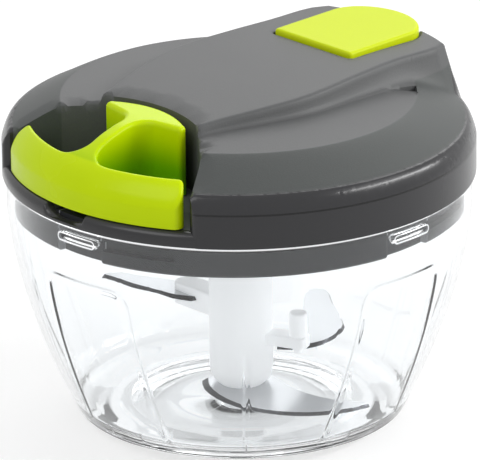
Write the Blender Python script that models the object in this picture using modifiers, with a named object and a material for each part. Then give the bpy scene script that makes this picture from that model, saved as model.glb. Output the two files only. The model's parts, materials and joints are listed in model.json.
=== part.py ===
"""Pull-cord food chopper: clear bowl, blade column and a lid with a sprung cord reel.

Lengths below are in millimetres and angles in degrees. +Z is up, the bowl's axis is the Z axis, the
bowl stands on z = 0, the pull handle points along -Y and the release button along +Y.
"""
import math

import bmesh
import bpy
import numpy as np
from mathutils import Matrix, Vector

MM = 0.001

# Clearances
GAP = 0.3                   # between neighbours that only touch
RUN_GAP = 0.3               # radial gap of a shaft in its bearing

# Bowl
RIM_RADIUS = 65.0           # outside of the rim
RIM_Z = 72.0                # top of the rim
RIM_BAND = 7.0              # straight band below the rim
BOWL_WALL = 2.0
CORNER_RADIUS = 46.3        # outside of the bowl where the wall meets the foot
CORNER_Z = 3.0
FLARE = 1.65                # exponent of the wall's curve
FLOOR_TOP = 4.4
FLOOR_UNDER = 1.7
FOOT_RADIUS = 40.6
FOOT_INNER = 36.0
PATTERN_TURN = 3.5          # turn of the lugs and panels against the lid
LUG_COUNT = 4
LUG_WIDTH = 13.6
LUG_HEIGHT = 2.2
LUG_DROP = 3.7              # from the rim's top to the lug's middle
LUG_CORNER = 1.0
LUG_REACH = 1.9             # how far a lug stands in from the wall
DENT_DEPTH = 0.7            # hollow on the outside of each lug
PANEL_WIDTH = 31.2
PANEL_TOP_DROP = 15.5       # from the rim's top to the panel's top edge
PANEL_CORNER = 6.0
BEAD_WIDTH = 2.0
BEAD_HEIGHT = 0.9
RIB_TOP_DROP = 32.5         # from the rim's top to the top of a short rib
PIN_RADIUS = 2.2
PIN_TOP = 24.0

# Blade column
SPINDLE_RADIUS = 8.95
SPINDLE_TOP = 65.8
SPINDLE_CHAMFER_TOP = 12.9
SPINDLE_FOOT_RADIUS = 6.3
LOWER_BLADE_Z = 7.6
BLADE_THICKNESS = 1.0
NECK_RADIUS = 4.4
NECK_DROP = 1.6             # of the neck below the foot cap's top
FOOT_CAP_RADIUS = 6.0
FOOT_CAP_CLEAR = 0.8        # above the bowl's floor
DOG_SHAFT = 3.4             # radius of the drive plug's shaft
DOG_REACH = 5.3             # radius at its two wings
DOG_WIDTH = 2.4
DOG_DEPTH = 12.0
MIDDLE_ARM_TURN = 24.0
MIDDLE_ARM_REACH = 20.2
MIDDLE_ARM_WIDTH = 5.6
MIDDLE_ARM_Z = 21.6
MIDDLE_ARM_HEIGHT = 3.2
PEG_WIDTH = 5.2
PEG_HEIGHT = 6.8
UPPER_ARM_TURN = 181.5
UPPER_ARM_REACH = 24.5
UPPER_ARM_WIDTH = 7.0
UPPER_ARM_Z = 26.6
UPPER_ARM_HEIGHT = 6.2
UPPER_BLADE_Z = 29.7
UPPER_BLADE_ROOT = 13.0     # radius where the upper blade's tang ends
RIVET_RADIUS = 1.3

# Lid cover
COVER_FOOT_Z = RIM_Z + GAP
COVER_WALL = 2.3
COVER_OVERHANG = 1.0        # of the lid's side wall beyond the rim
SIDE_RADIUS = RIM_RADIUS + COVER_OVERHANG
SHOULDER_Z = 83.4           # crease between side wall and shoulder
SHOULDER_WIDTH = 4.0
RING_OUTER_RADIUS = SIDE_RADIUS - SHOULDER_WIDTH
RING_OUTER_Z = 88.0
RING_WIDTH = 12.5
RING_INNER_RADIUS = RING_OUTER_RADIUS - RING_WIDTH
RING_INNER_Z = 93.9
DISH_Z = 96.2               # middle of the dish
RIDGE_TOP = 101.2
RIDGE_HIGH_Y = 35.0         # where the ridge's top is highest
RIDGE_CROWN = 600.0         # radius of the ridge's top, seen from the side
RIDGE_ROUND = 1.6
RIDGE_FOOT_Z = 80.0
RIDGE_END_INSET = 4.8       # from the side wall to the ridge's end
RIDGE_END_RADIUS = SIDE_RADIUS - RIDGE_END_INSET
RIDGE_LEAN_Y = 44.0         # where the ridge begins to lean, one of the crown's places
RIDGE_END_DRAFT = 3.2       # how far the ridge's end leans out at its foot
POCKET_FLOOR = 76.4
POCKET_FLOOR_THICKNESS = 1.5
POCKET_APEX_Y = -28.2
POCKET_CORNER_X = 20.4
POCKET_CORNER_Y = -34.0
POCKET_MOUTH_X = 36.6
POCKET_MOUTH_DEPTH = 14.0   # from the side wall to the corner of the mouth
POCKET_MOUTH_Y = POCKET_MOUTH_DEPTH - SIDE_RADIUS
POCKET_CHORD = 19.4         # half width and rise of the arc at the pocket's back
POCKET_SAG = 4.4
SCOOP_HALF_WIDTH = 7.6
SCOOP_DEPTH = 3.0
SCOOP_LENGTH = 7.5          # from the side wall inwards

# Lid base
BASE_PLATE_Z = RIM_Z + 0.6
BASE_PLATE_THICKNESS = 2.0
SKIRT_CLEARANCE = 0.4       # to the bowl's inside
SKIRT_RADIUS = RIM_RADIUS - BOWL_WALL - SKIRT_CLEARANCE
SKIRT_WALL = 3.2
SKIRT_DEPTH = 9.0           # below the rim's top
CHANNEL_DEPTH = 2.0
CHANNEL_SIDE_GAP = 1.2
LOCK_TURN = 20.0            # turn from set down to locked
RAMP_DROP = 1.3             # how much lower the ramp starts
SEAL_HEIGHT = 1.4
SEAL_SECTION = 1.5
SEAL_CLEARANCE = 0.25       # to the bowl's inside
SLEEVE_WALL = 2.4
SLEEVE_DROP = 4.0           # of the hub's bearing below the plate

# Screws
SCREW_INSET = 18.0          # from the side wall to the screws' circle
SCREW_CIRCLE = SIDE_RADIUS - SCREW_INSET
SCREW_TURNS = (2.0, 52.0, 128.0, 178.0)
SCREW_RADIUS = 1.5
SCREW_HEAD_RADIUS = 2.9
SCREW_HEAD_HEIGHT = 1.8
SCREW_LENGTH = 9.0
BOSS_RADIUS = 3.4

# Drive train, from the base plate upwards
CLIP_THICKNESS = 0.6
CLIP_GROOVE = 0.9           # depth of the clip's groove in the hub
CLIP_REACH = 1.4            # of the clip beyond the hub's bearing
CLIP_MOUTH_TURN = 20.0      # half of the clip's opening
HUB_RADIUS = 7.6
HUB_COLLAR_RADIUS = 11.0
HUB_COLLAR_HEIGHT = 1.4
HUB_NECK_RADIUS = 5.4
CLUTCH_RADIUS = 10.6
CLUTCH_SPRING_HEIGHT = 2.6  # room for the spring
CLUTCH_SPRING_TURNS = 1.5
CLUTCH_SPRING_WIRE = 0.35   # radius of the wire
CLUTCH_SPRING_OFFSET = 1.9  # from the hub's neck to the wire's middle
CLUTCH_PLATE_HEIGHT = 1.7
TOOTH_COUNT = 8
TOOTH_HEIGHT = 1.2
TOOTH_SECTION_COUNT = 3     # sections along one tooth
KEY_HALF_WIDTH = 1.0        # of the four keys between hub and clutch
AXLE_RADIUS = 2.4
AXLE_TOP = 96.0
REEL_CORE_RADIUS = 15.0
REEL_CORE_WALL = 1.3
REEL_FLANGE_RADIUS = 23.6
REEL_FLANGE = 1.2
REEL_GROOVE = 3.0
SPRING_COVER_THICKNESS = 1.0
CORD_RADIUS = 0.75
CORD_TURNS = 3
CORD_PITCH = 1.95           # between neighbouring turns
GUIDE_WALL = 1.3            # of the cord's eyelet, running clearance included
SPRING_TURNS = 6
SPRING_STRIP = 0.35
SPRING_HOOK = 1.2           # distance from the axis where the spring's inner end stops in the axle's slot

# Pull handle
HANDLE_INSET = 1.6          # from the lid's side wall to the outer bar
HANDLE_OUTER_BAR = 5.9      # width of the outer bar
HANDLE_OUTER_RADIUS = SIDE_RADIUS - HANDLE_INSET
HANDLE_INNER_RADIUS = HANDLE_OUTER_RADIUS - HANDLE_OUTER_BAR
HANDLE_HALF_WIDTH = 33.2
HANDLE_STEM = 2.6           # half width of the stem
HANDLE_BAR_X = 15.3         # half width of the inner bar
HANDLE_BAR_FRONT = -37.8
HANDLE_BAR_BACK = -34.0
HANDLE_APEX_Y = -29.9
HANDLE_ROUND = 1.0
HANDLE_ROW_INSETS = np.array((2.4, 4.1, 6.0, 8.4, 11.4, 14.4, 18.4, 22.4))   # where its top is bent
KNOT_RADIUS = 1.9
KNOT_WALL = 2.4             # of the handle between its inner face and the knot's pocket

# Release button
BUTTON_HALF_WIDTH = 15.4
BUTTON_FRONT_Y = 28.3
BUTTON_END_RADIUS = RIDGE_END_RADIUS
BUTTON_END_CORNER = 13.0    # corners of its round end
BUTTON_END_LIFT = 1.0       # of the end's corners before they are rounded
BUTTON_FRONT_CORNER = 0.9
BUTTON_PROUD = 2.0
BUTTON_ROUND = 0.8
BUTTON_UNDER_Z = 96.8
BUTTON_GAP = 0.6
BUTTON_PIN_INSET = 15.2     # from the button's end to its pin
BUTTON_PIN_Y = BUTTON_END_RADIUS - BUTTON_PIN_INSET
BUTTON_PIN_Z = 99.2
BUTTON_PIN_RADIUS = 1.1
BUTTON_FLOOR = 93.6
BUTTON_FLOOR_THICKNESS = 1.6
BUTTON_SPRING_Y = 34.0
BUTTON_SPRING_RADIUS = 2.6
BUTTON_SPRING_WIRE = 0.35   # radius of the wire
BUTTON_SPRING_TURNS = 3
SPRING_CUP_DEPTH = 2.0      # of the spring's seat in the button
LEG_INSET = 5.6             # from the button's end to its leg
LEG_Y = BUTTON_END_RADIUS - LEG_INSET
LEG_WIDTH = 8.0
LEG_THICKNESS = 2.2

# Facets round a circle, and points along a coil's turn
BROAD_COUNT = 48
MIDDLING_COUNT = 24
SMALL_COUNT = 16
SCREW_COUNT = 10
COIL_COUNT = 16


# Sizes that follow from the ones above
SHOULDER_OF_WALL_Z = RIM_Z - RIM_BAND
LUG_Z = RIM_Z - LUG_DROP
BASE_PLATE_TOP = BASE_PLATE_Z + BASE_PLATE_THICKNESS
COLLAR_Z = BASE_PLATE_TOP + GAP
COLLAR_TOP = COLLAR_Z + HUB_COLLAR_HEIGHT
CLUTCH_Z = COLLAR_TOP + CLUTCH_SPRING_HEIGHT + 2 * GAP
CLUTCH_TOP = CLUTCH_Z + CLUTCH_PLATE_HEIGHT
REEL_Z = CLUTCH_TOP + TOOTH_HEIGHT + 2 * GAP
GROOVE_Z = REEL_Z + REEL_FLANGE
GROOVE_TOP = GROOVE_Z + REEL_GROOVE
REEL_TOP = GROOVE_TOP + REEL_FLANGE
CORD_Z = GROOVE_Z + REEL_GROOVE / 2
CORD_INNER = REEL_CORE_RADIUS + CORD_RADIUS + GAP
CORD_OUTER = CORD_INNER + CORD_PITCH * CORD_TURNS
SPRING_COVER_Z = REEL_TOP + GAP
SPRING_COVER_TOP = SPRING_COVER_Z + SPRING_COVER_THICKNESS
POCKET_WALL_Y = POCKET_APEX_Y + COVER_WALL
CLIP_Z = BASE_PLATE_Z - SLEEVE_DROP - GAP - CLIP_THICKNESS


def bowl_outside(z):
    """Outside radius of the bowl: a straight band at the rim, then a power curve to the foot."""
    fall = (SHOULDER_OF_WALL_Z - z) / (SHOULDER_OF_WALL_Z - CORNER_Z)
    return RIM_RADIUS - (RIM_RADIUS - CORNER_RADIUS) * max(fall, 0.0) ** FLARE


def bowl_inside(z):
    """Inside radius of the bowl."""
    return bowl_outside(z) - BOWL_WALL


CROWN_PLACES = np.arange(-36.0, 66.0, 10.0)


def ridge_top(y):
    """Height of the ridge's crowned top, level across x and straight between the crown's places."""
    heights = RIDGE_TOP - (RIDGE_HIGH_Y - CROWN_PLACES) ** 2 / (2 * RIDGE_CROWN)
    return float(np.interp(y, CROWN_PLACES, heights))


def dish_top(radius):
    """Height of the cover's turned top, from the middle of the dish to the side wall."""
    radii = (0.0, 20.0, RING_INNER_RADIUS, RING_OUTER_RADIUS, SIDE_RADIUS)
    heights = (DISH_Z, DISH_Z - 0.5, RING_INNER_Z, RING_OUTER_Z, SHOULDER_Z)
    return float(np.interp(radius, radii, heights))


def handle_top(radius):
    """Height of the handle's top, which falls from the inner bar to the outer bar."""
    radii = (28.0, 38.0, HANDLE_INNER_RADIUS - 14.5, HANDLE_INNER_RADIUS - 8.5, HANDLE_INNER_RADIUS,
             HANDLE_OUTER_RADIUS - 2.4, HANDLE_OUTER_RADIUS)
    heights = (96.1, 95.6, 94.7, 92.6, 88.4, 86.2, 82.6)
    return float(np.interp(radius, radii, heights))


def clear_scene():
    for thing in list(bpy.data.objects):
        bpy.data.objects.remove(thing, do_unlink=True)


def new_collection(name):
    group = bpy.data.collections.new(name)
    bpy.context.scene.collection.children.link(group)
    return group


def finish(name, colour, roughness, metallic=0.0, transmission=0.0):
    """A plain Principled material."""
    made = bpy.data.materials.new(name)
    made.use_nodes = True
    shader = made.node_tree.nodes["Principled BSDF"]
    shader.inputs["Base Color"].default_value = (*colour, 1.0)
    shader.inputs["Roughness"].default_value = roughness
    shader.inputs["Metallic"].default_value = metallic
    shader.inputs["Transmission Weight"].default_value = transmission
    made.diffuse_color = (*colour, 1.0)
    return made


clear_scene()
PARTS = new_collection("pull_cord_chopper")
TOOLS = new_collection("chopper_cutters")


def add_object(name, mesh, group):
    made = bpy.data.objects.new(name, mesh)
    group.objects.link(made)
    if group is TOOLS:
        made.hide_render = True
        made.display_type = "WIRE"
    return made


def part(made, name, material, smooth=True):
    """Name a finished solid as a node of the chopper and give it its material."""
    made.name = name
    if made.name not in PARTS.objects:
        TOOLS.objects.unlink(made)
        PARTS.objects.link(made)
    made.hide_render = False
    made.display_type = "TEXTURED"
    made.data.materials.clear()
    made.data.materials.append(material)
    if smooth:
        made.data.shade_smooth()
        made.data.set_sharp_from_angle(angle=math.radians(35))
    return made


def turned(name, profile, steps):
    """Turn a profile of (radius, z) about Z. It runs down its outer side, top to bottom."""
    mesh = bpy.data.meshes.new(name)
    form = bmesh.new()
    verts = [form.verts.new((radius * MM, 0.0, z * MM)) for radius, z in profile]
    on_axis = profile[0][0] == 0.0 and profile[-1][0] == 0.0
    ends = verts[1:] if on_axis else verts[1:] + verts[:1]
    for start, end in zip(verts, ends):
        form.edges.new((start, end))
    form.to_mesh(mesh)
    form.free()
    made = add_object(name, mesh, TOOLS)
    screw = made.modifiers.new("turn", "SCREW")
    screw.angle = math.tau
    screw.axis = "Z"
    screw.steps = steps
    screw.render_steps = steps
    screw.use_merge_vertices = True
    screw.merge_threshold = 0.000001
    return made


def ring(name, inner, outer, low, high, steps):
    return turned(name, [(outer, high), (outer, low), (inner, low), (inner, high)], steps)


def disc(name, radius, low, high, steps):
    return turned(name, [(0.0, high), (radius, high), (radius, low), (0.0, low)], steps)


def as_mesh(curve_object):
    """Replace a curve object with the closed mesh that it makes."""
    graph = bpy.context.evaluated_depsgraph_get()
    mesh = bpy.data.meshes.new_from_object(curve_object.evaluated_get(graph))
    form = bmesh.new()
    form.from_mesh(mesh)
    bmesh.ops.remove_doubles(form, verts=form.verts, dist=0.000002)
    form.to_mesh(mesh)
    form.free()
    made = add_object(curve_object.name + "_solid", mesh, TOOLS)
    made.matrix_world = curve_object.matrix_world.copy()
    old = curve_object.data
    bpy.data.objects.remove(curve_object, do_unlink=True)
    bpy.data.curves.remove(old)
    return made


def plate(name, outline, low, high, edge=0.0):
    """A flat outline of (x, y) points made solid from z low to high, with its rims rounded by edge."""
    curve = bpy.data.curves.new(name, "CURVE")
    curve.dimensions = "2D"
    curve.fill_mode = "BOTH"
    curve.extrude = ((high - low) / 2 - edge) * MM
    curve.bevel_depth = edge * MM
    curve.bevel_resolution = 1
    curve.offset = -edge * MM
    spline = curve.splines.new("POLY")
    spline.points.add(len(outline) - 1)
    for point, (x, y) in zip(spline.points, outline):
        point.co = (x * MM, y * MM, 0.0, 1.0)
    spline.use_cyclic_u = True
    made = add_object(name, curve, TOOLS)
    made.location = (0.0, 0.0, (low + high) / 2 * MM)
    bpy.context.view_layer.update()
    solid = as_mesh(made)
    solid.data.transform(solid.matrix_world)
    solid.matrix_world = Matrix()
    return solid


def sliced(made, places, across=()):
    """Merge a mesh's level faces, then divide them at places along y and across x, so that they can be bent."""
    form = bmesh.new()
    form.from_mesh(made.data)
    bmesh.ops.dissolve_limit(form, angle_limit=0.001, verts=form.verts, edges=form.edges)
    cuts = [((0.0, place * MM, 0.0), (0.0, 1.0, 0.0)) for place in places]
    cuts += [((place * MM, 0.0, 0.0), (1.0, 0.0, 0.0)) for place in across]
    for point, normal in cuts:
        everything = form.verts[:] + form.edges[:] + form.faces[:]
        bmesh.ops.bisect_plane(form, geom=everything, plane_co=point, plane_no=normal, dist=0.000001)
    form.to_mesh(made.data)
    form.free()
    return made


def tube(name, points, radius, sides=2):
    """A round bar along a list of (x, y, z) points."""
    curve = bpy.data.curves.new(name, "CURVE")
    curve.dimensions = "3D"
    curve.bevel_depth = radius * MM
    curve.bevel_resolution = sides
    curve.use_fill_caps = True
    spline = curve.splines.new("POLY")
    spline.points.add(len(points) - 1)
    for point, (x, y, z) in zip(spline.points, points):
        point.co = (x * MM, y * MM, z * MM, 1.0)
    made = add_object(name, curve, TOOLS)
    bpy.context.view_layer.update()
    return as_mesh(made)


def block(name, low, high):
    """A box between two corners."""
    mesh = bpy.data.meshes.new(name)
    form = bmesh.new()
    bmesh.ops.create_cube(form, size=1.0)
    size = [(b - a) * MM for a, b in zip(low, high)]
    middle = [(a + b) / 2 * MM for a, b in zip(low, high)]
    bmesh.ops.scale(form, vec=size, verts=form.verts)
    bmesh.ops.translate(form, vec=middle, verts=form.verts)
    form.to_mesh(mesh)
    form.free()
    return add_object(name, mesh, TOOLS)


def rod(name, start, end, radius, steps=SMALL_COUNT):
    """A cylinder between two points."""
    a = Vector(start) * MM
    b = Vector(end) * MM
    mesh = bpy.data.meshes.new(name)
    form = bmesh.new()
    bmesh.ops.create_cone(form, cap_ends=True, segments=steps, radius1=radius * MM, radius2=radius * MM,
                          depth=(b - a).length)
    turn = (b - a).to_track_quat("Z", "Y").to_matrix().to_4x4()
    bmesh.ops.transform(form, matrix=Matrix.Translation((a + b) / 2) @ turn, verts=form.verts)
    form.to_mesh(mesh)
    form.free()
    return add_object(name, mesh, TOOLS)


def set_origin(made, x, y, z):
    """Move a mesh object's origin to a point without moving its solid."""
    shift = Vector((x, y, z)) * MM
    made.data.transform(Matrix.Translation(-shift))
    made.location = shift
    return made


def about_axis(made, degrees):
    """Turn a mesh object's own points about the Z axis."""
    made.data.transform(Matrix.Rotation(math.radians(degrees), 4, "Z"))
    return made


def combine(target, tool, operation):
    cut = target.modifiers.new(operation.lower(), "BOOLEAN")
    cut.operation = operation
    cut.object = tool
    cut.solver = "EXACT"
    return target


def join(target, *tools):
    for tool in tools:
        combine(target, tool, "UNION")
    return target


def cut(target, *tools):
    for tool in tools:
        combine(target, tool, "DIFFERENCE")
    return target


def keep(target, tool):
    return combine(target, tool, "INTERSECT")


def polar(radius, degrees):
    return radius * math.cos(math.radians(degrees)), radius * math.sin(math.radians(degrees))


def arc(centre, radius, start, end, count):
    """Points on an arc, its ends included."""
    turns = np.linspace(start, end, count)
    return [(centre[0] + polar(radius, a)[0], centre[1] + polar(radius, a)[1]) for a in turns]


def circle(centre, radius, count):
    """Evenly spaced points round a whole circle."""
    return arc(centre, radius, 0, 360, count + 1)[:-1]


def rounded(corners, count=5):
    """An outline from (x, y, radius) corners, each rounded by an arc of its radius."""
    outline = []
    total = len(corners)
    for index, (x, y, radius) in enumerate(corners):
        here = np.array((x, y))
        if radius == 0.0:
            outline.append((x, y))
            continue
        before = np.array(corners[index - 1][:2]) - here
        after = np.array(corners[(index + 1) % total][:2]) - here
        before /= np.linalg.norm(before)
        after /= np.linalg.norm(after)
        half = math.acos(float(np.clip(before @ after, -1.0, 1.0))) / 2
        middle = before + after
        centre = here + middle / np.linalg.norm(middle) * radius / math.sin(half)
        first = here + before * radius / math.tan(half) - centre
        last = here + after * radius / math.tan(half) - centre
        start = math.atan2(first[1], first[0])
        sweep = (math.atan2(last[1], last[0]) - start + math.pi) % math.tau - math.pi
        for share in np.linspace(0.0, 1.0, count):
            turn = start + sweep * share
            outline.append((centre[0] + radius * math.cos(turn), centre[1] + radius * math.sin(turn)))
    return outline


def smooth(points, spans=4):
    """A Catmull-Rom line through the points."""
    knots = np.array(points, dtype=float)
    padded = np.vstack((2 * knots[0] - knots[1], knots, 2 * knots[-1] - knots[-2]))
    line = []
    for index in range(1, len(padded) - 2):
        a, b, c, d = padded[index - 1:index + 3]
        for share in np.arange(spans) / spans:
            line.append(tuple(0.5 * (2 * b + (c - a) * share + (2 * a - 5 * b + 4 * c - d) * share ** 2
                                     + (3 * b - a - 3 * c + d) * share ** 3)))
    line.append(tuple(knots[-1]))
    return line


def mirrored(half):
    """Close half an outline, of points or corners, with its mirror image. A point on x = 0 is used once."""
    return half + [(-point[0], *point[1:]) for point in reversed(half) if point[0] > 0.001]


def sector(name, inner, outer, start, end, low, high, count=8):
    """Part of a flat ring."""
    outline = arc((0, 0), outer, start, end, count) + arc((0, 0), inner, end, start, count)
    return plate(name, outline, low, high)


CLEAR = finish("clear plastic", (0.86, 0.92, 0.95), 0.06, 0.0, 0.9)
DARK = finish("dark grey plastic", (0.11, 0.12, 0.12), 0.45)
BLACK_SOFT = finish("black silicone", (0.03, 0.03, 0.03), 0.6)
LIME = finish("lime plastic", (0.50, 0.68, 0.0), 0.25)
PALE_LIME = finish("pale lime plastic", (0.66, 0.80, 0.05), 0.4)
WHITE = finish("white plastic", (0.85, 0.85, 0.84), 0.4)
STEEL = finish("blade steel", (0.62, 0.63, 0.64), 0.25, 1.0)
SPRING_STEEL = finish("spring steel", (0.40, 0.41, 0.43), 0.3, 1.0)
CORD = finish("white cord", (0.80, 0.80, 0.78), 0.8)


def arch(half, low, high, corner):
    """An upright outline, square below and rounded above."""
    return rounded([(-half, low, 0.0), (half, low, 0.0), (half, high, corner), (-half, high, corner)])


def make_bowl():
    """Turned bowl with bayonet lugs, panel outlines and flow ribs on its inside."""
    heights = np.linspace(SHOULDER_OF_WALL_Z, CORNER_Z, 8)
    outside = [(RIM_RADIUS, RIM_Z)] + [(bowl_outside(z), z) for z in heights]
    foot = [(FOOT_RADIUS, 0.0), (FOOT_INNER, 0.0), (FOOT_INNER - FLOOR_UNDER, FLOOR_UNDER), (0.0, FLOOR_UNDER)]
    bend = 6.0
    inside = [(bowl_inside(z), z) for z in heights if z > FLOOR_TOP + bend]
    low_radius = bowl_inside(FLOOR_TOP + bend)
    corner = [(low_radius - 1.4, FLOOR_TOP + 2.6), (low_radius - 4.2, FLOOR_TOP + 0.8),
              (low_radius - 8.0, FLOOR_TOP + 0.3)]
    floor = [(0.0, FLOOR_TOP), (low_radius - 12.0, FLOOR_TOP)] + corner[::-1]
    profile = floor + [(low_radius, FLOOR_TOP + bend)] + inside[::-1] + [(RIM_RADIUS - BOWL_WALL, RIM_Z)]
    bowl = turned("bowl", profile + outside + foot, BROAD_COUNT)

    liner_heights = np.linspace(RIM_Z - 12.0, FLOOR_TOP + 1.4, 6)
    outer_line = [(bowl_outside(z) - BOWL_WALL / 2, z) for z in liner_heights]
    inner_line = [(bowl_inside(z) - BEAD_HEIGHT, z) for z in liner_heights]
    liner = turned("bead_shell", outer_line + inner_line[::-1], BROAD_COUNT)

    half = PANEL_WIDTH / 2
    top = RIM_Z - PANEL_TOP_DROP
    far = 75.0
    frames = []
    for index in range(LUG_COUNT):
        turn = PATTERN_TURN + index * 360 / LUG_COUNT
        frame = upright(plate("panel_frame", arch(half, -9.0, top, PANEL_CORNER), 30.0, far), turn)
        inner = arch(half - BEAD_WIDTH, -14.0, top - BEAD_WIDTH, PANEL_CORNER - BEAD_WIDTH)
        window = upright(plate("panel_window", inner, 20.0, far + 10.0), turn)
        frames.append(cut(frame, window))
        rib = plate("flow_rib", arch(BEAD_WIDTH / 2, -9.0, RIM_Z - RIB_TOP_DROP, BEAD_WIDTH / 2 - 0.05), 30.0, far)
        frames.append(upright(rib, turn + 180 / LUG_COUNT))
    for frame in frames:
        keep(frame, liner)
        join(bowl, frame)

    for index in range(LUG_COUNT):
        turn = PATTERN_TURN + index * 360 / LUG_COUNT
        inner = RIM_RADIUS - BOWL_WALL - LUG_REACH
        low = LUG_Z - LUG_HEIGHT / 2
        high = LUG_Z + LUG_HEIGHT / 2
        sides = ((-LUG_WIDTH / 2, low), (LUG_WIDTH / 2, low), (LUG_WIDTH / 2, high), (-LUG_WIDTH / 2, high))
        outline = rounded([(x, z, LUG_CORNER) for x, z in sides], 4)
        lug = upright(plate("lug", outline, inner - 1.0, RIM_RADIUS - BOWL_WALL / 2), turn)
        keep(lug, ring("lug_band", inner, RIM_RADIUS - BOWL_WALL / 2, LUG_Z - 4, LUG_Z + 3, BROAD_COUNT))
        join(bowl, lug)
        dent = upright(plate("lug_dent", outline, inner, RIM_RADIUS + 3.0), turn)
        keep(dent, ring("dent_band", RIM_RADIUS - DENT_DEPTH, RIM_RADIUS + 2.0, LUG_Z - 4, LUG_Z + 3, BROAD_COUNT))
        cut(bowl, dent)

    cut(bowl, rod("pin_hole", (0, 0, FLOOR_UNDER + 0.8), (0, 0, FLOOR_TOP + 3), PIN_RADIUS + GAP))
    return part(bowl, "bowl", CLEAR)


def upright(made, turn):
    """Stand a plate up: its outline's x runs round the bowl, its y is height, its z is the radius."""
    stand = Matrix(((0, 0, 1, 0), (1, 0, 0, 0), (0, 1, 0, 0), (0, 0, 0, 1)))
    made.data.transform(Matrix.Rotation(math.radians(turn), 4, "Z") @ stand)
    return made


def make_pivot_pin():
    low = FLOOR_UNDER + 0.8 + GAP
    profile = [(0.0, PIN_TOP), (PIN_RADIUS - 0.7, PIN_TOP), (PIN_RADIUS, PIN_TOP - 0.9), (PIN_RADIUS, low),
               (0.0, low)]
    return part(turned("pivot_pin", profile, SMALL_COUNT), "pivot_pin", STEEL)


def arm(name, turn, reach, width, low, high):
    """A straight arm with a rounded end, from the column outwards."""
    corner = width * 0.3
    outline = rounded([(2.0, -width / 2, 0.0), (reach, -width / 2, corner), (reach, width / 2, corner),
                       (2.0, width / 2, 0.0)])
    return about_axis(plate(name, outline, low, high), turn)


def make_spindle():
    """The blade column: drive socket on top, pin bore below, two arms and a neck for the lower blade."""
    neck_low = LOWER_BLADE_Z - GAP - NECK_DROP
    profile = [(SPINDLE_RADIUS - 0.5, SPINDLE_TOP), (SPINDLE_RADIUS, SPINDLE_TOP - 0.5),
               (SPINDLE_RADIUS, SPINDLE_CHAMFER_TOP), (SPINDLE_RADIUS - 1.0, SPINDLE_CHAMFER_TOP - 2.6),
               (SPINDLE_FOOT_RADIUS, LOWER_BLADE_Z + BLADE_THICKNESS + GAP),
               (NECK_RADIUS, LOWER_BLADE_Z + BLADE_THICKNESS + GAP), (NECK_RADIUS, neck_low),
               (PIN_RADIUS + RUN_GAP, neck_low), (PIN_RADIUS + RUN_GAP, PIN_TOP + GAP), (0.0, PIN_TOP + GAP)]
    socket_low = SPINDLE_TOP - DOG_DEPTH - 0.6
    bore = [(0.0, socket_low), (DOG_REACH + RUN_GAP, socket_low), (DOG_REACH + RUN_GAP, SPINDLE_TOP)]
    spindle = turned("spindle", bore + profile, MIDDLING_COUNT)
    for side in (0, 180):
        rib = block("socket_rib", (DOG_SHAFT + RUN_GAP, -DOG_WIDTH / 2, socket_low - 0.5),
                    (DOG_REACH + 1.0, DOG_WIDTH / 2, SPINDLE_TOP - 1.0))
        join(spindle, about_axis(rib, side))

    middle = arm("middle_arm", MIDDLE_ARM_TURN, MIDDLE_ARM_REACH, MIDDLE_ARM_WIDTH, MIDDLE_ARM_Z,
                 MIDDLE_ARM_Z + MIDDLE_ARM_HEIGHT)
    peg_x = MIDDLE_ARM_REACH - PEG_WIDTH / 2 - 0.2
    peg = plate("peg", circle((peg_x, 0), PEG_WIDTH / 2, MIDDLING_COUNT), MIDDLE_ARM_Z + 1,
                MIDDLE_ARM_Z + MIDDLE_ARM_HEIGHT + PEG_HEIGHT, 0.6)
    rivet = plate("rivet", circle((peg_x, 0), RIVET_RADIUS, MIDDLING_COUNT // 2),
                  MIDDLE_ARM_Z - GAP - BLADE_THICKNESS - 0.5, MIDDLE_ARM_Z + 1)
    join(middle, about_axis(peg, MIDDLE_ARM_TURN), about_axis(rivet, MIDDLE_ARM_TURN))
    upper_high = UPPER_ARM_Z + UPPER_ARM_HEIGHT
    upper = arm("upper_arm", UPPER_ARM_TURN, UPPER_ARM_REACH, UPPER_ARM_WIDTH, UPPER_ARM_Z, upper_high)
    core = disc("arm_trim", SPINDLE_RADIUS - 1.2, MIDDLE_ARM_Z - 4, upper_high + 4, MIDDLING_COUNT)
    for piece in (middle, upper):
        cut(piece, core)
        join(spindle, piece)
    slot = plate("blade_slot", upper_blade_outline(GAP), UPPER_BLADE_Z - GAP,
                 UPPER_BLADE_Z + BLADE_THICKNESS + GAP)
    cut(spindle, slot)
    return part(spindle, "blade_spindle", WHITE)


def make_spindle_foot():
    low = FLOOR_TOP + FOOT_CAP_CLEAR
    high = LOWER_BLADE_Z - GAP
    profile = [(FOOT_CAP_RADIUS, high), (FOOT_CAP_RADIUS, low + 0.8), (FOOT_CAP_RADIUS - 0.8, low),
               (PIN_RADIUS + RUN_GAP, low), (PIN_RADIUS + RUN_GAP, high - NECK_DROP - GAP),
               (NECK_RADIUS + GAP, high - NECK_DROP - GAP), (NECK_RADIUS + GAP, high)]
    return part(turned("spindle_foot", profile, MIDDLING_COUNT), "spindle_foot", WHITE)


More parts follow.
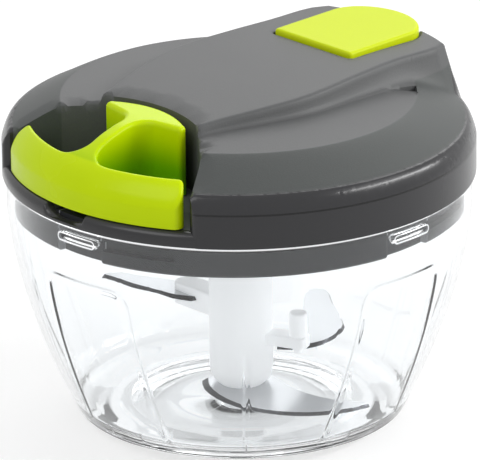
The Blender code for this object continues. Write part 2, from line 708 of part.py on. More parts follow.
def blade(name, edge, back, low, bevel, hole=None):
    """A flat blade between its cutting edge and its back, ground to a bevel along the cutting edge."""
    outline = edge + back
    top = []
    for index, (x, y) in enumerate(edge):
        ahead = np.array(edge[min(index + 1, len(edge) - 1)])
        behind = np.array(edge[max(index - 1, 0)])
        along = (ahead - behind) / np.linalg.norm(ahead - behind)
        inward = np.array((-along[1], along[0]))
        share = math.sin(math.pi * min(1.0, 0.5 + index / (len(edge) - 1)))
        top.append(tuple(np.array((x, y)) + inward * bevel * max(0.35, share)))
    top += back
    count = len(outline)
    verts = [(x * MM, y * MM, low * MM) for x, y in outline]
    verts += [(x * MM, y * MM, (low + BLADE_THICKNESS) * MM) for x, y in top]
    sides = [(i, (i + 1) % count, count + (i + 1) % count, count + i) for i in range(count)]
    faces = [tuple(reversed(range(count))), tuple(range(count, 2 * count))] + sides
    mesh = bpy.data.meshes.new(name)
    mesh.from_pydata(verts, [], faces)
    form = bmesh.new()
    form.from_mesh(mesh)
    bmesh.ops.recalc_face_normals(form, faces=form.faces)
    form.to_mesh(mesh)
    form.free()
    made = add_object(name + "_blank", mesh, TOOLS)
    if hole:
        x, y, radius = hole
        cut(made, rod(name + "_hole", (x, y, low - 3), (x, y, low + 4), radius))
    return part(made, name, STEEL, smooth=False)


LOWER_EDGE = [(-9.5, -6.5), (-4.5, -10.2), (3.0, -12.6), (11.5, -12.8), (20.0, -10.6), (27.5, -6.0), (33.0, 0.3),
              (36.6, 8.0), (37.6, 13.4)]
LOWER_BACK = [(35.0, 13.0), (28.0, 8.6), (20.0, 6.6), (12.0, 6.6), (4.0, 8.4), (-4.0, 7.6), (-8.8, 2.0)]
MIDDLE_EDGE = [(11.4, 3.0), (15.5, 6.8), (17.6, 12.0), (17.6, 17.0), (15.8, 23.0), (12.6, 28.4), (4.8, 33.8),
               (-2.0, 38.0), (-7.6, 42.2)]
MIDDLE_BACK = [(-11.0, 43.0), (-13.6, 39.6), (-9.0, 33.0), (-3.0, 27.0), (2.6, 20.0), (7.0, 12.5), (10.0, 7.0)]
UPPER_EDGE = [(-14.5, -5.6), (-20.0, -7.9), (-26.0, -8.3), (-34.5, -10.2), (-41.0, -10.6), (-45.6, -11.4)]
UPPER_BACK = [(-45.4, -9.4), (-43.0, -6.6), (-37.4, -4.6), (-31.0, -1.2), (-25.0, 1.0), (-UPPER_BLADE_ROOT, 1.0)]


def upper_blade_outline(clearance):
    """Outline of the upper blade's tang where it sits in the arm, grown by a clearance."""
    return [(-UPPER_BLADE_ROOT + clearance, -5.6 - clearance), (-UPPER_BLADE_ROOT + clearance, 1.0 + clearance),
            (-31.0, 1.6 + clearance), (-31.0, -9.0 - clearance), (-20.0, -8.2 - clearance),
            (-14.5, -5.6 - clearance * 2)]


def make_blades():
    """Three ground blades: one under the column, one under the middle arm, one in the upper arm."""
    peg_radius = MIDDLE_ARM_REACH - PEG_WIDTH / 2 - 0.2
    peg_x, peg_y = polar(peg_radius, MIDDLE_ARM_TURN)
    blade("lower_blade", smooth(LOWER_EDGE, 2), smooth(LOWER_BACK, 2), LOWER_BLADE_Z, 1.8,
          (0.0, 0.0, NECK_RADIUS + GAP))
    middle_low = MIDDLE_ARM_Z - GAP - BLADE_THICKNESS
    blade("middle_blade", smooth(MIDDLE_EDGE, 2), smooth(MIDDLE_BACK, 2), middle_low, 1.6,
          (peg_x, peg_y, RIVET_RADIUS + GAP))
    blade("upper_blade", UPPER_EDGE, UPPER_BACK, UPPER_BLADE_Z, -1.5)


def pocket_outline(grow):
    """The handle's pocket, seen from above, open through the rim."""
    apex = POCKET_APEX_Y + grow
    corner_x = POCKET_CORNER_X + grow * 1.1
    corner_y = POCKET_CORNER_Y + grow * 0.4
    radius = (POCKET_CHORD ** 2 + POCKET_SAG ** 2) / (2 * POCKET_SAG)
    reach = math.degrees(math.asin((corner_x - 3.4) / (radius + grow)))
    back = arc((0, apex - radius - grow), radius + grow, 90, 90 - reach, 7)
    mouth_x = POCKET_MOUTH_X + grow * 1.1
    mouth = [(corner_x, corner_y, 2.4 + grow), (mouth_x, POCKET_MOUTH_Y + grow * 0.3, 5.0),
             (mouth_x + 4, POCKET_MOUTH_Y - 8, 0.0), (mouth_x + 4, -1.3 * SIDE_RADIUS, 0.0)]
    return rounded(mirrored([(x, y, 0.0) for x, y in back] + mouth))


RIDGE_SIDE = [(19.4, -34.5), (22.0, -25.5), (25.4, -14.5), (28.0, -3.0), (28.3, 7.0), (26.9, 22.0),
              (25.7, 36.0), (25.9, RIDGE_END_RADIUS - 14.2), (25.6, RIDGE_END_RADIUS - 9.2)]


def ridge(name, inset, top_drop, foot):
    """The raised band along Y, crowned on top and leaning out at its end."""
    side = [(x - inset, y) for x, y in smooth(RIDGE_SIDE, 3)]
    end_radius = RIDGE_END_RADIUS - inset
    turn = math.degrees(math.acos((RIDGE_SIDE[-1][0] - inset - 2.0) / end_radius))
    half = side + arc((0, 0), end_radius, turn, 90, 9)
    half[-1] = (0.0, end_radius)
    edge = RIDGE_ROUND if inset == 0 else 0.0
    solid = sliced(plate(name, mirrored(half), foot, RIDGE_TOP, edge), CROWN_PLACES)
    for vert in solid.data.vertices:
        x, y, z = (value / MM for value in vert.co)
        above = (z - foot) / (RIDGE_TOP - foot)
        past = max(0.0, (y - RIDGE_LEAN_Y) / (RIDGE_END_RADIUS - RIDGE_LEAN_Y))
        lean = past * RIDGE_END_DRAFT * (1.0 - above)
        if above > 0.5:
            z += ridge_top(y) - RIDGE_TOP - top_drop
        vert.co = (x * MM, (y + lean) * MM, z * MM)
    return solid


def cover_profile():
    """Outside of the cover, from the middle of the top down to its foot."""
    shoulder = [(SIDE_RADIUS - 2.5, SHOULDER_Z + 3.7), (SIDE_RADIUS - 1.1, SHOULDER_Z + 1.8),
                (SIDE_RADIUS - 0.5, SHOULDER_Z)]
    return [(0.0, DISH_Z), (20.0, DISH_Z - 0.5), (RING_INNER_RADIUS, RING_INNER_Z), (RING_OUTER_RADIUS, RING_OUTER_Z),
            *shoulder, (SIDE_RADIUS, SHOULDER_Z - 3.4), (SIDE_RADIUS - 0.2, COVER_FOOT_Z)]


def make_cover():
    """The lid's housing: a turned shell, the ridge, the handle's pocket and the button's pocket."""
    cover = turned("cover", cover_profile() + [(0.0, COVER_FOOT_Z)], BROAD_COUNT)
    join(cover, ridge("ridge_solid", 0.0, 0.0, RIDGE_FOOT_Z))

    wall = COVER_WALL
    hollow_profile = [(0.0, DISH_Z - wall), (20.0, DISH_Z - 0.5 - wall),
                      (RING_INNER_RADIUS - 0.6, RING_INNER_Z - wall - 0.2),
                      (RING_OUTER_RADIUS - 1.0, RING_OUTER_Z - wall - 0.2), (SIDE_RADIUS - wall, SHOULDER_Z - 1.2),
                      (SIDE_RADIUS - wall, COVER_FOOT_Z - 3), (0.0, COVER_FOOT_Z - 3)]
    hollow = turned("cover_hollow", hollow_profile, BROAD_COUNT)
    join(hollow, ridge("ridge_hollow", wall, wall, RIDGE_FOOT_Z + 1))
    floor_low = POCKET_FLOOR - POCKET_FLOOR_THICKNESS
    cut(hollow, plate("pocket_block", pocket_outline(wall), floor_low, 120.0))
    button_low = BUTTON_FLOOR - BUTTON_FLOOR_THICKNESS
    cut(hollow, plate("button_block", button_outline(BUTTON_GAP + wall), button_low, 120.0))
    boss_high = ridge_top(0.0) - wall / 2
    cut(hollow, disc("axle_boss", AXLE_RADIUS + 2.4, SPRING_COVER_TOP + GAP, boss_high, SMALL_COUNT))
    for turn in SCREW_TURNS:
        x, y = polar(SCREW_CIRCLE, turn)
        boss = rod("screw_boss", (x, y, BASE_PLATE_TOP + GAP), (x, y, RING_OUTER_Z + 4), BOSS_RADIUS)
        cut(hollow, boss)
    cut(cover, hollow)
    cut(cover, plate("pocket_space", pocket_outline(0.0), POCKET_FLOOR, 120.0))
    cut(cover, plate("button_space", button_outline(BUTTON_GAP), BUTTON_UNDER_Z - GAP, 120.0))
    side = BUTTON_HALF_WIDTH + BUTTON_GAP - 0.05
    well_top = BUTTON_UNDER_Z + 1.2
    cut(cover, block("button_well", (-side, BUTTON_FRONT_Y - BUTTON_GAP + 0.05, BUTTON_FLOOR),
                     (side, BUTTON_PIN_Y + 1.0, well_top)))
    leg_near = LEG_Y - LEG_THICKNESS / 2 - 0.8
    leg_far = LEG_Y + LEG_THICKNESS / 2 + 2.4
    cut(cover, block("leg_slot", (-LEG_WIDTH / 2 - 0.6, leg_near, BUTTON_FLOOR - 6),
                     (LEG_WIDTH / 2 + 0.6, leg_far, well_top)))

    scoop_radius = (SCOOP_HALF_WIDTH ** 2 + SCOOP_DEPTH ** 2) / (2 * SCOOP_DEPTH)
    scoop_z = POCKET_FLOOR - SCOOP_DEPTH + scoop_radius
    cut(cover, rod("finger_scoop", (0, SCOOP_LENGTH - SIDE_RADIUS, scoop_z), (0, -SIDE_RADIUS - 9, scoop_z),
                   scoop_radius, BROAD_COUNT))
    for turn in SCREW_TURNS:
        x, y = polar(SCREW_CIRCLE, turn)
        high = BASE_PLATE_TOP + SCREW_LENGTH - BASE_PLATE_THICKNESS + GAP
        cut(cover, rod("screw_hole", (x, y, BASE_PLATE_TOP - 2), (x, y, high), SCREW_RADIUS + GAP, SMALL_COUNT))
    cut(cover, rod("axle_hole", (0, 0, SPRING_COVER_TOP - 2), (0, 0, AXLE_TOP + GAP), AXLE_RADIUS + GAP))
    cut(cover, rod("guide_hole", (0, POCKET_APEX_Y - 4, CORD_Z), (0, POCKET_WALL_Y + 3, CORD_Z),
                   CORD_RADIUS + GUIDE_WALL + GAP))
    pin_x = BUTTON_HALF_WIDTH + BUTTON_GAP + wall - 0.8
    cut(cover, rod("button_pin_hole", (-pin_x, BUTTON_PIN_Y, BUTTON_PIN_Z), (pin_x, BUTTON_PIN_Y, BUTTON_PIN_Z),
                   BUTTON_PIN_RADIUS + GAP))
    return part(cover, "lid_cover", DARK)


def make_lid_base():
    """Skirt plate with the seal's groove, the hub's bearing and a channel and ramp for each lug."""
    skirt_low = RIM_Z - SKIRT_DEPTH
    plate_low = BASE_PLATE_Z
    outer = SIDE_RADIUS - COVER_WALL - 0.4
    sleeve = HUB_RADIUS + RUN_GAP
    seal_low = RIM_Z - SEAL_HEIGHT
    groove_radius = SKIRT_RADIUS - SEAL_SECTION
    skirt_inner = SKIRT_RADIUS - SKIRT_WALL
    profile = [(outer, BASE_PLATE_TOP), (outer, plate_low), (SKIRT_RADIUS, plate_low), (SKIRT_RADIUS, RIM_Z + GAP),
               (groove_radius, RIM_Z + GAP), (groove_radius, seal_low - GAP), (SKIRT_RADIUS, seal_low - GAP),
               (SKIRT_RADIUS, skirt_low + 0.6), (SKIRT_RADIUS - 0.6, skirt_low), (skirt_inner, skirt_low),
               (skirt_inner, plate_low), (sleeve + SLEEVE_WALL, plate_low),
               (sleeve + SLEEVE_WALL, plate_low - SLEEVE_DROP), (sleeve, plate_low - SLEEVE_DROP),
               (sleeve, BASE_PLATE_TOP)]
    base = turned("base", profile, BROAD_COUNT)

    floor_radius = SKIRT_RADIUS - CHANNEL_DEPTH
    outside = SKIRT_RADIUS + 3.0
    side = math.degrees((LUG_WIDTH / 2 + CHANNEL_SIDE_GAP) / SKIRT_RADIUS)
    lug_low = LUG_Z - LUG_HEIGHT / 2 - GAP
    lug_high = LUG_Z + LUG_HEIGHT / 2 + GAP
    for index in range(LUG_COUNT):
        turn = PATTERN_TURN + index * 360 / LUG_COUNT
        cut(base, sector("entry", floor_radius, outside, turn - side, turn + side, skirt_low - 3, lug_high))
        locked = turn + LOCK_TURN + side
        cut(base, sector("lock_groove", floor_radius, outside, turn, locked, lug_low, lug_high, 12))
        cut(base, ramp_cutter(floor_radius, turn + side - 0.5, turn + side + 7.0, lug_low))
    for turn in SCREW_TURNS:
        x, y = polar(SCREW_CIRCLE, turn)
        cut(base, rod("base_screw_hole", (x, y, plate_low - 2), (x, y, BASE_PLATE_TOP + 2), SCREW_RADIUS + GAP))
    return part(base, "lid_base", DARK)


def ramp_cutter(inner, start, end, high):
    """A wedge under the groove, deepest where the lug comes in."""
    solid = sector("ramp", inner, SKIRT_RADIUS + 3, start, end, high - RAMP_DROP, high + 0.4, 6)
    for vert in solid.data.vertices:
        x, y, z = vert.co
        turn = math.degrees(math.atan2(y, x)) % 360
        share = ((turn - start) % 360) / (end - start)
        if z < high * MM - 0.0001 and share < 2.0:
            vert.co.z = (high - RAMP_DROP * (1.0 - share) - 0.02) * MM
    return solid


def make_gasket():
    inner = SKIRT_RADIUS - SEAL_SECTION + GAP
    outer = RIM_RADIUS - BOWL_WALL - SEAL_CLEARANCE
    return part(ring("gasket", inner, outer, RIM_Z - SEAL_HEIGHT, RIM_Z, BROAD_COUNT), "lid_gasket", BLACK_SOFT)


def solid_of(made):
    """The finished mesh of an object that stays out of the part."""
    bpy.context.view_layer.update()
    graph = bpy.context.evaluated_depsgraph_get()
    mesh = bpy.data.meshes.new_from_object(made.evaluated_get(graph))
    bpy.data.objects.remove(made, do_unlink=True)
    return mesh


def make_screws():
    """Four screws that share one mesh, heads down in the lid base."""
    head_low = BASE_PLATE_Z - GAP - SCREW_HEAD_HEIGHT
    head_top = BASE_PLATE_Z - GAP
    tip = head_top + SCREW_LENGTH
    recess = 1.2
    profile = [(0.0, tip), (SCREW_RADIUS - 0.7, tip), (SCREW_RADIUS, tip - 1.2), (SCREW_RADIUS, head_top),
               (SCREW_HEAD_RADIUS, head_top), (SCREW_HEAD_RADIUS, head_low + 0.7),
               (SCREW_HEAD_RADIUS - 0.9, head_low),
               (recess, head_low), (recess, head_low + 1.0), (0.0, head_low + 1.0)]
    mesh = solid_of(turned("screw", profile, SCREW_COUNT))
    for number, turn in enumerate(SCREW_TURNS, 1):
        x, y = polar(SCREW_CIRCLE, turn)
        screw = part(add_object("screw", mesh, TOOLS), "cover_screw_%d" % number, STEEL)
        screw.location = (x * MM, y * MM, 0.0)


def make_axle():
    low = CLUTCH_Z + 0.4
    axle = rod("axle", (0, 0, low), (0, 0, AXLE_TOP), AXLE_RADIUS)
    slot = block("spring_slot", (-0.5, -9, GROOVE_Z - 0.1), (0.5, -SPRING_HOOK + GAP, SPRING_COVER_TOP))
    cut(axle, slot)
    return part(axle, "reel_axle", STEEL)


def saw_teeth(name, inner, outer, flat, saw, start):
    """A ring between the level flat and a line that rises from saw along each tooth, then drops at once."""
    per_tooth = TOOTH_SECTION_COUNT
    verts = []
    faces = []
    for tooth in range(TOOTH_COUNT):
        for step in range(per_tooth + 1):
            turn = start + (tooth + step / per_tooth * 0.999) * 360 / TOOTH_COUNT
            edge = saw + TOOTH_HEIGHT * step / per_tooth
            for radius, z in ((inner, flat), (outer, flat), (outer, edge), (inner, edge)):
                x, y = polar(radius, turn)
                verts.append((x * MM, y * MM, z * MM))
    sections = TOOTH_COUNT * (per_tooth + 1)
    for section in range(sections):
        a = 4 * section
        b = 4 * ((section + 1) % sections)
        for corner in range(4):
            nxt = (corner + 1) % 4
            faces.append((a + corner, a + nxt, b + nxt, b + corner))
    mesh = bpy.data.meshes.new(name)
    mesh.from_pydata(verts, [], faces)
    form = bmesh.new()
    form.from_mesh(mesh)
    bmesh.ops.recalc_face_normals(form, faces=form.faces)
    form.to_mesh(mesh)
    form.free()
    return add_object(name, mesh, TOOLS)


def make_clutch_plate():
    """Splined ring with saw teeth on top, pushed up against the reel by its spring."""
    inner = HUB_NECK_RADIUS + RUN_GAP
    middle = CLUTCH_TOP - CLUTCH_PLATE_HEIGHT / 2
    clutch = saw_teeth("clutch", inner + 1.6, CLUTCH_RADIUS, middle, CLUTCH_TOP, 0.0)
    base = ring("clutch_ring", inner, CLUTCH_RADIUS, CLUTCH_Z, CLUTCH_TOP - 0.2, MIDDLING_COUNT)
    join(base, clutch)
    for turn in (0, 90, 180, 270):
        key = block("key_way", (inner - 1.0, -KEY_HALF_WIDTH - GAP, CLUTCH_Z - 2),
                    (inner + 0.9, KEY_HALF_WIDTH + GAP, CLUTCH_TOP + 4))
        cut(base, about_axis(key, turn))
    return part(base, "clutch_plate", WHITE, smooth=False)


def least_gap(points, radius, apart):
    """Least gap between a tube's stretches that lie more than a given number of points apart."""
    line = np.array(points)
    least = min(float(np.linalg.norm(line[index + apart:] - line[index], axis=1).min())
                for index in range(len(line) - apart))
    return least - 2 * radius


def coil(radius, centre_y, low, high, turns):
    """Points of a helix about a vertical axis."""
    shares = np.linspace(0.0, 1.0, int(turns * COIL_COUNT) + 1)
    flat = [polar(radius, share * turns * 360) for share in shares]
    return [(x, y + centre_y, low + (high - low) * share) for (x, y), share in zip(flat, shares)]


def make_clutch_spring():
    low = COLLAR_TOP + GAP + CLUTCH_SPRING_WIRE
    high = CLUTCH_Z - GAP - CLUTCH_SPRING_WIRE
    points = coil(HUB_NECK_RADIUS + CLUTCH_SPRING_OFFSET, 0.0, low, high, CLUTCH_SPRING_TURNS)
    gap = least_gap(points, CLUTCH_SPRING_WIRE, COIL_COUNT // 2)
    print("least gap between the clutch spring's turns: %.2f mm" % gap)
    return part(tube("clutch_coil", points, CLUTCH_SPRING_WIRE, 1), "clutch_spring", SPRING_STEEL)


def make_hub():
    """Output shaft: a plug with two wings below, a bearing, a collar and a splined neck."""
    groove = HUB_RADIUS - CLIP_GROOVE
    neck_top = CLUTCH_TOP - 0.2
    bore_low = CLUTCH_Z + 0.1
    profile = [(AXLE_RADIUS + RUN_GAP, neck_top), (HUB_NECK_RADIUS, neck_top), (HUB_NECK_RADIUS, COLLAR_TOP),
               (HUB_COLLAR_RADIUS, COLLAR_TOP), (HUB_COLLAR_RADIUS, COLLAR_Z), (HUB_RADIUS, COLLAR_Z),
               (HUB_RADIUS, CLIP_Z + CLIP_THICKNESS + GAP), (groove, CLIP_Z + CLIP_THICKNESS + GAP),
               (groove, CLIP_Z - GAP), (HUB_RADIUS - 0.3, CLIP_Z - GAP), (HUB_RADIUS - 1.0, SPINDLE_TOP + GAP),
               (0.0, SPINDLE_TOP + GAP)]
    hub = turned("hub", [(0.0, bore_low), (AXLE_RADIUS + RUN_GAP, bore_low)] + profile, MIDDLING_COUNT)
    join(hub, disc("dog_shaft", DOG_SHAFT, SPINDLE_TOP - DOG_DEPTH, SPINDLE_TOP + 1.5, SMALL_COUNT))
    wing = block("dog_wings", (-DOG_WIDTH / 2, -DOG_REACH, SPINDLE_TOP - DOG_DEPTH),
                 (DOG_WIDTH / 2, DOG_REACH, SPINDLE_TOP + 1.0))
    join(hub, wing)
    for turn in (0, 90, 180, 270):
        key = block("hub_key", (HUB_NECK_RADIUS - 0.6, -KEY_HALF_WIDTH, COLLAR_TOP - 0.2),
                    (HUB_NECK_RADIUS + 0.7, KEY_HALF_WIDTH, neck_top))
        join(hub, about_axis(key, turn))
    return part(hub, "drive_hub", WHITE)


def make_hub_clip():
    """Snap ring in the hub's groove, below the bearing, with its gap."""
    inner = HUB_RADIUS - CLIP_GROOVE + GAP
    outline = arc((0, 0), HUB_RADIUS + CLIP_REACH, CLIP_MOUTH_TURN, 360 - CLIP_MOUTH_TURN, 20)
    outline += arc((0, 0), inner, 360 - CLIP_MOUTH_TURN, CLIP_MOUTH_TURN, 20)
    return part(plate("clip", outline, CLIP_Z, CLIP_Z + CLIP_THICKNESS), "hub_clip", STEEL)


def make_reel():
    """Cord reel: flanges, groove, spring chamber inside the core and saw teeth underneath."""
    bore = AXLE_RADIUS + RUN_GAP
    inner = REEL_CORE_RADIUS - REEL_CORE_WALL
    profile = [(REEL_FLANGE_RADIUS, REEL_TOP), (REEL_FLANGE_RADIUS, GROOVE_TOP), (REEL_CORE_RADIUS, GROOVE_TOP),
               (REEL_CORE_RADIUS, GROOVE_Z), (REEL_FLANGE_RADIUS, GROOVE_Z), (REEL_FLANGE_RADIUS, REEL_Z),
               (bore, REEL_Z), (bore, GROOVE_Z), (inner, GROOVE_Z), (inner, REEL_TOP)]
    reel = turned("reel_body", profile, MIDDLING_COUNT)
    teeth = saw_teeth("reel_teeth", HUB_NECK_RADIUS + 2.2, CLUTCH_RADIUS - GAP, REEL_Z + 0.5,
                      CLUTCH_TOP + 2 * GAP, 2.5)
    join(reel, teeth)
    return part(reel, "reel", WHITE)


def make_spring_cover():
    cover = ring("spring_lid", AXLE_RADIUS + RUN_GAP, REEL_CORE_RADIUS + 2.0, SPRING_COVER_Z, SPRING_COVER_TOP,
                 MIDDLING_COUNT)
    return part(cover, "spring_cover", WHITE)


def make_recoil_spring():
    """Flat spiral of spring strip. Its inner end hooks into the axle's slot."""
    inner = AXLE_RADIUS + 1.1
    outer = REEL_CORE_RADIUS - REEL_CORE_WALL - GAP - SPRING_STRIP
    count = SPRING_TURNS * COIL_COUNT
    line = []
    for step in range(count + 1):
        share = step / count
        line.append(polar(inner + (outer - inner) * share, -90 + 360 * SPRING_TURNS * share))
    gap = least_gap(line, SPRING_STRIP / 2, COIL_COUNT // 2)
    print("least gap between the recoil spring's turns: %.2f mm" % gap)
    line = [(0.0, -SPRING_HOOK), (0.0, -inner + 0.35)] + line[1:]
    low = GROOVE_Z + GAP
    high = REEL_TOP - GAP
    mesh = bpy.data.meshes.new("spiral")
    verts = [(x * MM, y * MM, z * MM) for z in (low, high) for x, y in line]
    total = len(line)
    mesh.from_pydata(verts, [], [(i, i + 1, total + i + 1, total + i) for i in range(total - 1)])
    spring = add_object("spiral", mesh, TOOLS)
    wall = spring.modifiers.new("strip", "SOLIDIFY")
    wall.thickness = SPRING_STRIP * MM
    wall.offset = 0.0
    return part(spring, "recoil_spring", SPRING_STEEL)


def cord_tangent():
    """Where the cord leaves its outer turn, on the straight line to the guide."""
    reach = math.degrees(math.acos(CORD_OUTER / -POCKET_WALL_Y))
    return polar(CORD_OUTER, -90 + reach)


def make_cord():
    """The cord: a flat spiral on the reel that runs on through the guide, and its knotted end."""
    per_turn = 20
    leave_x, leave_y = cord_tangent()
    leave = math.degrees(math.atan2(leave_y, leave_x))
    turns = []
    for step in range(CORD_TURNS * per_turn + 1):
        x, y = polar(CORD_OUTER - CORD_PITCH * step / per_turn, leave + 360 * step / per_turn)
        turns.append((x, y, CORD_Z))
    guide = np.array((0.0, POCKET_WALL_Y + 0.9))
    along = guide - np.array((leave_x, leave_y))
    along /= np.linalg.norm(along)
    bend = [tuple(guide - along * 5.0), tuple(guide - along * 2.2), tuple(guide - along * 0.9),
            (0.0, POCKET_WALL_Y), (0.0, POCKET_APEX_Y - 0.2)]
    run = [(x, y, CORD_Z) for x, y in smooth(bend, 3)]
    print("least gap between the cord's turns: %.2f mm" % least_gap(turns, CORD_RADIUS, per_turn // 2))
    part(tube("winding", turns[::-1] + run, CORD_RADIUS, 1), "cord_winding", CORD)

    knot_y = knot_centre()
    end = rod("end", (0, POCKET_APEX_Y - 0.2 - GAP, CORD_Z), (0, knot_y, CORD_Z), CORD_RADIUS, 12)
    mesh = bpy.data.meshes.new("knot")
    form = bmesh.new()
    bmesh.ops.create_uvsphere(form, u_segments=14, v_segments=9, radius=KNOT_RADIUS * MM)
    bmesh.ops.translate(form, vec=(0, knot_y * MM, CORD_Z * MM), verts=form.verts)
    form.to_mesh(mesh)
    form.free()
    join(end, add_object("knot", mesh, TOOLS))
    part(end, "cord_end", CORD)


def knot_centre():
    return HANDLE_APEX_Y - KNOT_WALL - GAP - KNOT_RADIUS


def make_cord_guide():
    """Flanged eyelet in the pocket's wall."""
    bore = CORD_RADIUS + GAP
    outer = CORD_RADIUS + GUIDE_WALL
    length = COVER_WALL + 0.6
    profile = [(outer, length), (outer, 0.0), (outer + 1.0, 0.0), (outer + 1.0, -0.7), (bore + 0.3, -0.7),
               (bore, -0.2), (bore, length)]
    mesh = solid_of(turned("guide", profile, SMALL_COUNT))
    to_wall = Matrix.Translation((0, (POCKET_APEX_Y - GAP) * MM, CORD_Z * MM))
    mesh.transform(to_wall @ Matrix.Rotation(math.radians(-90), 4, "X"))
    return part(add_object("guide_solid", mesh, TOOLS), "cord_guide", STEEL)


def handle_outline():
    """The grip seen from above: an outer bar on the rim, a stem and an inner bar."""
    outer_turn = math.degrees(math.asin(HANDLE_HALF_WIDTH / HANDLE_OUTER_RADIUS))
    outer = arc((0, 0), HANDLE_OUTER_RADIUS, -90, -90 + outer_turn - 3.0, 9)
    tip_out = polar(HANDLE_OUTER_RADIUS, -90 + outer_turn)
    tip_in = polar(HANDLE_INNER_RADIUS, -90 + outer_turn - 1.0)
    stem_turn = math.degrees(math.asin(10.4 / HANDLE_INNER_RADIUS))
    inner = arc((0, 0), HANDLE_INNER_RADIUS, -90 + outer_turn - 4.5, -90 + stem_turn, 6)
    sag = -HANDLE_BAR_BACK + HANDLE_APEX_Y
    radius = (HANDLE_BAR_X ** 2 + sag ** 2) / (2 * sag)
    reach = math.degrees(math.asin((HANDLE_BAR_X - 2.2) / radius))
    back = arc((0, HANDLE_APEX_Y - radius), radius, 90 - reach, 90, 6)
    corners = [(x, y, 0.0) for x, y in outer]
    corners += [(*tip_out, 2.4), (*tip_in, 1.6)]
    corners += [(x, y, 0.0) for x, y in inner]
    corners += [(HANDLE_STEM, -HANDLE_INNER_RADIUS + 0.1, 5.6), (HANDLE_STEM, HANDLE_BAR_FRONT, 7.5),
                (HANDLE_BAR_X, HANDLE_BAR_FRONT + 0.6, 1.5), (HANDLE_BAR_X, HANDLE_BAR_BACK, 1.5)]
    corners += [(x, y, 0.0) for x, y in back]
    return rounded(mirrored(corners), 6)


def make_handle():
    """The pull grip. Its top follows the lid, and its knot pocket opens underneath."""
    low = POCKET_FLOOR + GAP
    level = 96.0
    rows = HANDLE_ROW_INSETS - HANDLE_OUTER_RADIUS
    handle = sliced(plate("handle", handle_outline(), low, level, HANDLE_ROUND), rows, (-29, -22, -14, 14, 22, 29))
    for vert in handle.data.vertices:
        x, y, z = (value / MM for value in vert.co)
        if z > level - 10.0:
            vert.co.z = (z - level + handle_top(math.hypot(x, y))) * MM
    knot_y = knot_centre()
    room = KNOT_RADIUS + GAP
    cut(handle, block("knot_room", (-room, knot_y - room, low - 2), (room, knot_y + room, CORD_Z + room)))
    cut(handle, rod("cord_hole", (0, knot_y, CORD_Z), (0, HANDLE_APEX_Y + 4, CORD_Z), CORD_RADIUS + GAP))
    return part(handle, "pull_handle", LIME)


def button_outline(grow):
    """The button seen from above: a straight front and a round end."""
    half = BUTTON_HALF_WIDTH + grow
    front = BUTTON_FRONT_Y - grow
    end = BUTTON_END_RADIUS + grow
    corner = (half, math.sqrt(end ** 2 - half ** 2) + BUTTON_END_LIFT, BUTTON_END_CORNER + grow)
    return rounded(mirrored([(half, front, BUTTON_FRONT_CORNER + grow), corner, (0.0, end, 0.0)]), 7)


def make_button():
    """Rocker button: it turns on its pin, and its leg reaches down to the lid base."""
    top = RIDGE_TOP + BUTTON_PROUD
    button = sliced(plate("button", button_outline(0.0), BUTTON_UNDER_Z, top, BUTTON_ROUND), CROWN_PLACES)
    for vert in button.data.vertices:
        if vert.co.z > (top - 1.5) * MM:
            vert.co.z += (ridge_top(vert.co.y / MM) - RIDGE_TOP) * MM
    leg_low = BASE_PLATE_TOP + 1.0
    leg = block("leg", (-LEG_WIDTH / 2, LEG_Y - LEG_THICKNESS / 2, leg_low),
                (LEG_WIDTH / 2, LEG_Y + LEG_THICKNESS / 2, BUTTON_UNDER_Z + 1))
    join(button, leg)
    reach = BUTTON_HALF_WIDTH + 4
    cut(button, rod("button_bore", (-reach, BUTTON_PIN_Y, BUTTON_PIN_Z), (reach, BUTTON_PIN_Y, BUTTON_PIN_Z),
                    BUTTON_PIN_RADIUS + RUN_GAP))
    cut(button, rod("spring_cup", (0, BUTTON_SPRING_Y, BUTTON_UNDER_Z - 2),
                    (0, BUTTON_SPRING_Y, BUTTON_UNDER_Z + SPRING_CUP_DEPTH),
                    BUTTON_SPRING_RADIUS + BUTTON_SPRING_WIRE + 0.5))
    set_origin(button, 0.0, BUTTON_PIN_Y, BUTTON_PIN_Z)
    return part(button, "release_button", PALE_LIME)


def make_button_pin():
    reach = BUTTON_HALF_WIDTH + BUTTON_GAP + COVER_WALL - 0.8 - GAP
    pin = rod("pin", (-reach, BUTTON_PIN_Y, BUTTON_PIN_Z), (reach, BUTTON_PIN_Y, BUTTON_PIN_Z), BUTTON_PIN_RADIUS)
    return part(pin, "button_pin", STEEL)


def make_button_spring():
    low = BUTTON_FLOOR + GAP + BUTTON_SPRING_WIRE
    high = BUTTON_UNDER_Z + SPRING_CUP_DEPTH - GAP - BUTTON_SPRING_WIRE
    points = coil(BUTTON_SPRING_RADIUS, BUTTON_SPRING_Y, low, high, BUTTON_SPRING_TURNS)
    gap = least_gap(points, BUTTON_SPRING_WIRE, COIL_COUNT // 2)
    print("least gap between the button spring's turns: %.2f mm" % gap)
    return part(tube("button_coil", points, BUTTON_SPRING_WIRE, 1), "button_spring", SPRING_STEEL)


make_bowl()
make_pivot_pin()
make_spindle()
make_spindle_foot()
make_blades()
make_cover()
make_lid_base()
make_gasket()
make_screws()
make_axle()
make_clutch_plate()
make_clutch_spring()
make_hub()
make_hub_clip()
make_reel()
make_spring_cover()
make_recoil_spring()
make_cord()
make_cord_guide()
make_handle()
make_button()
make_button_pin()
make_button_spring()
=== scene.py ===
"""Looks of the pull-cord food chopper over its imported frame.

Lengths are in millimetres until a mesh is made.
"""

import json
import math

import bpy
import numpy as np
from mathutils import Matrix, Quaternion, Vector, geometry


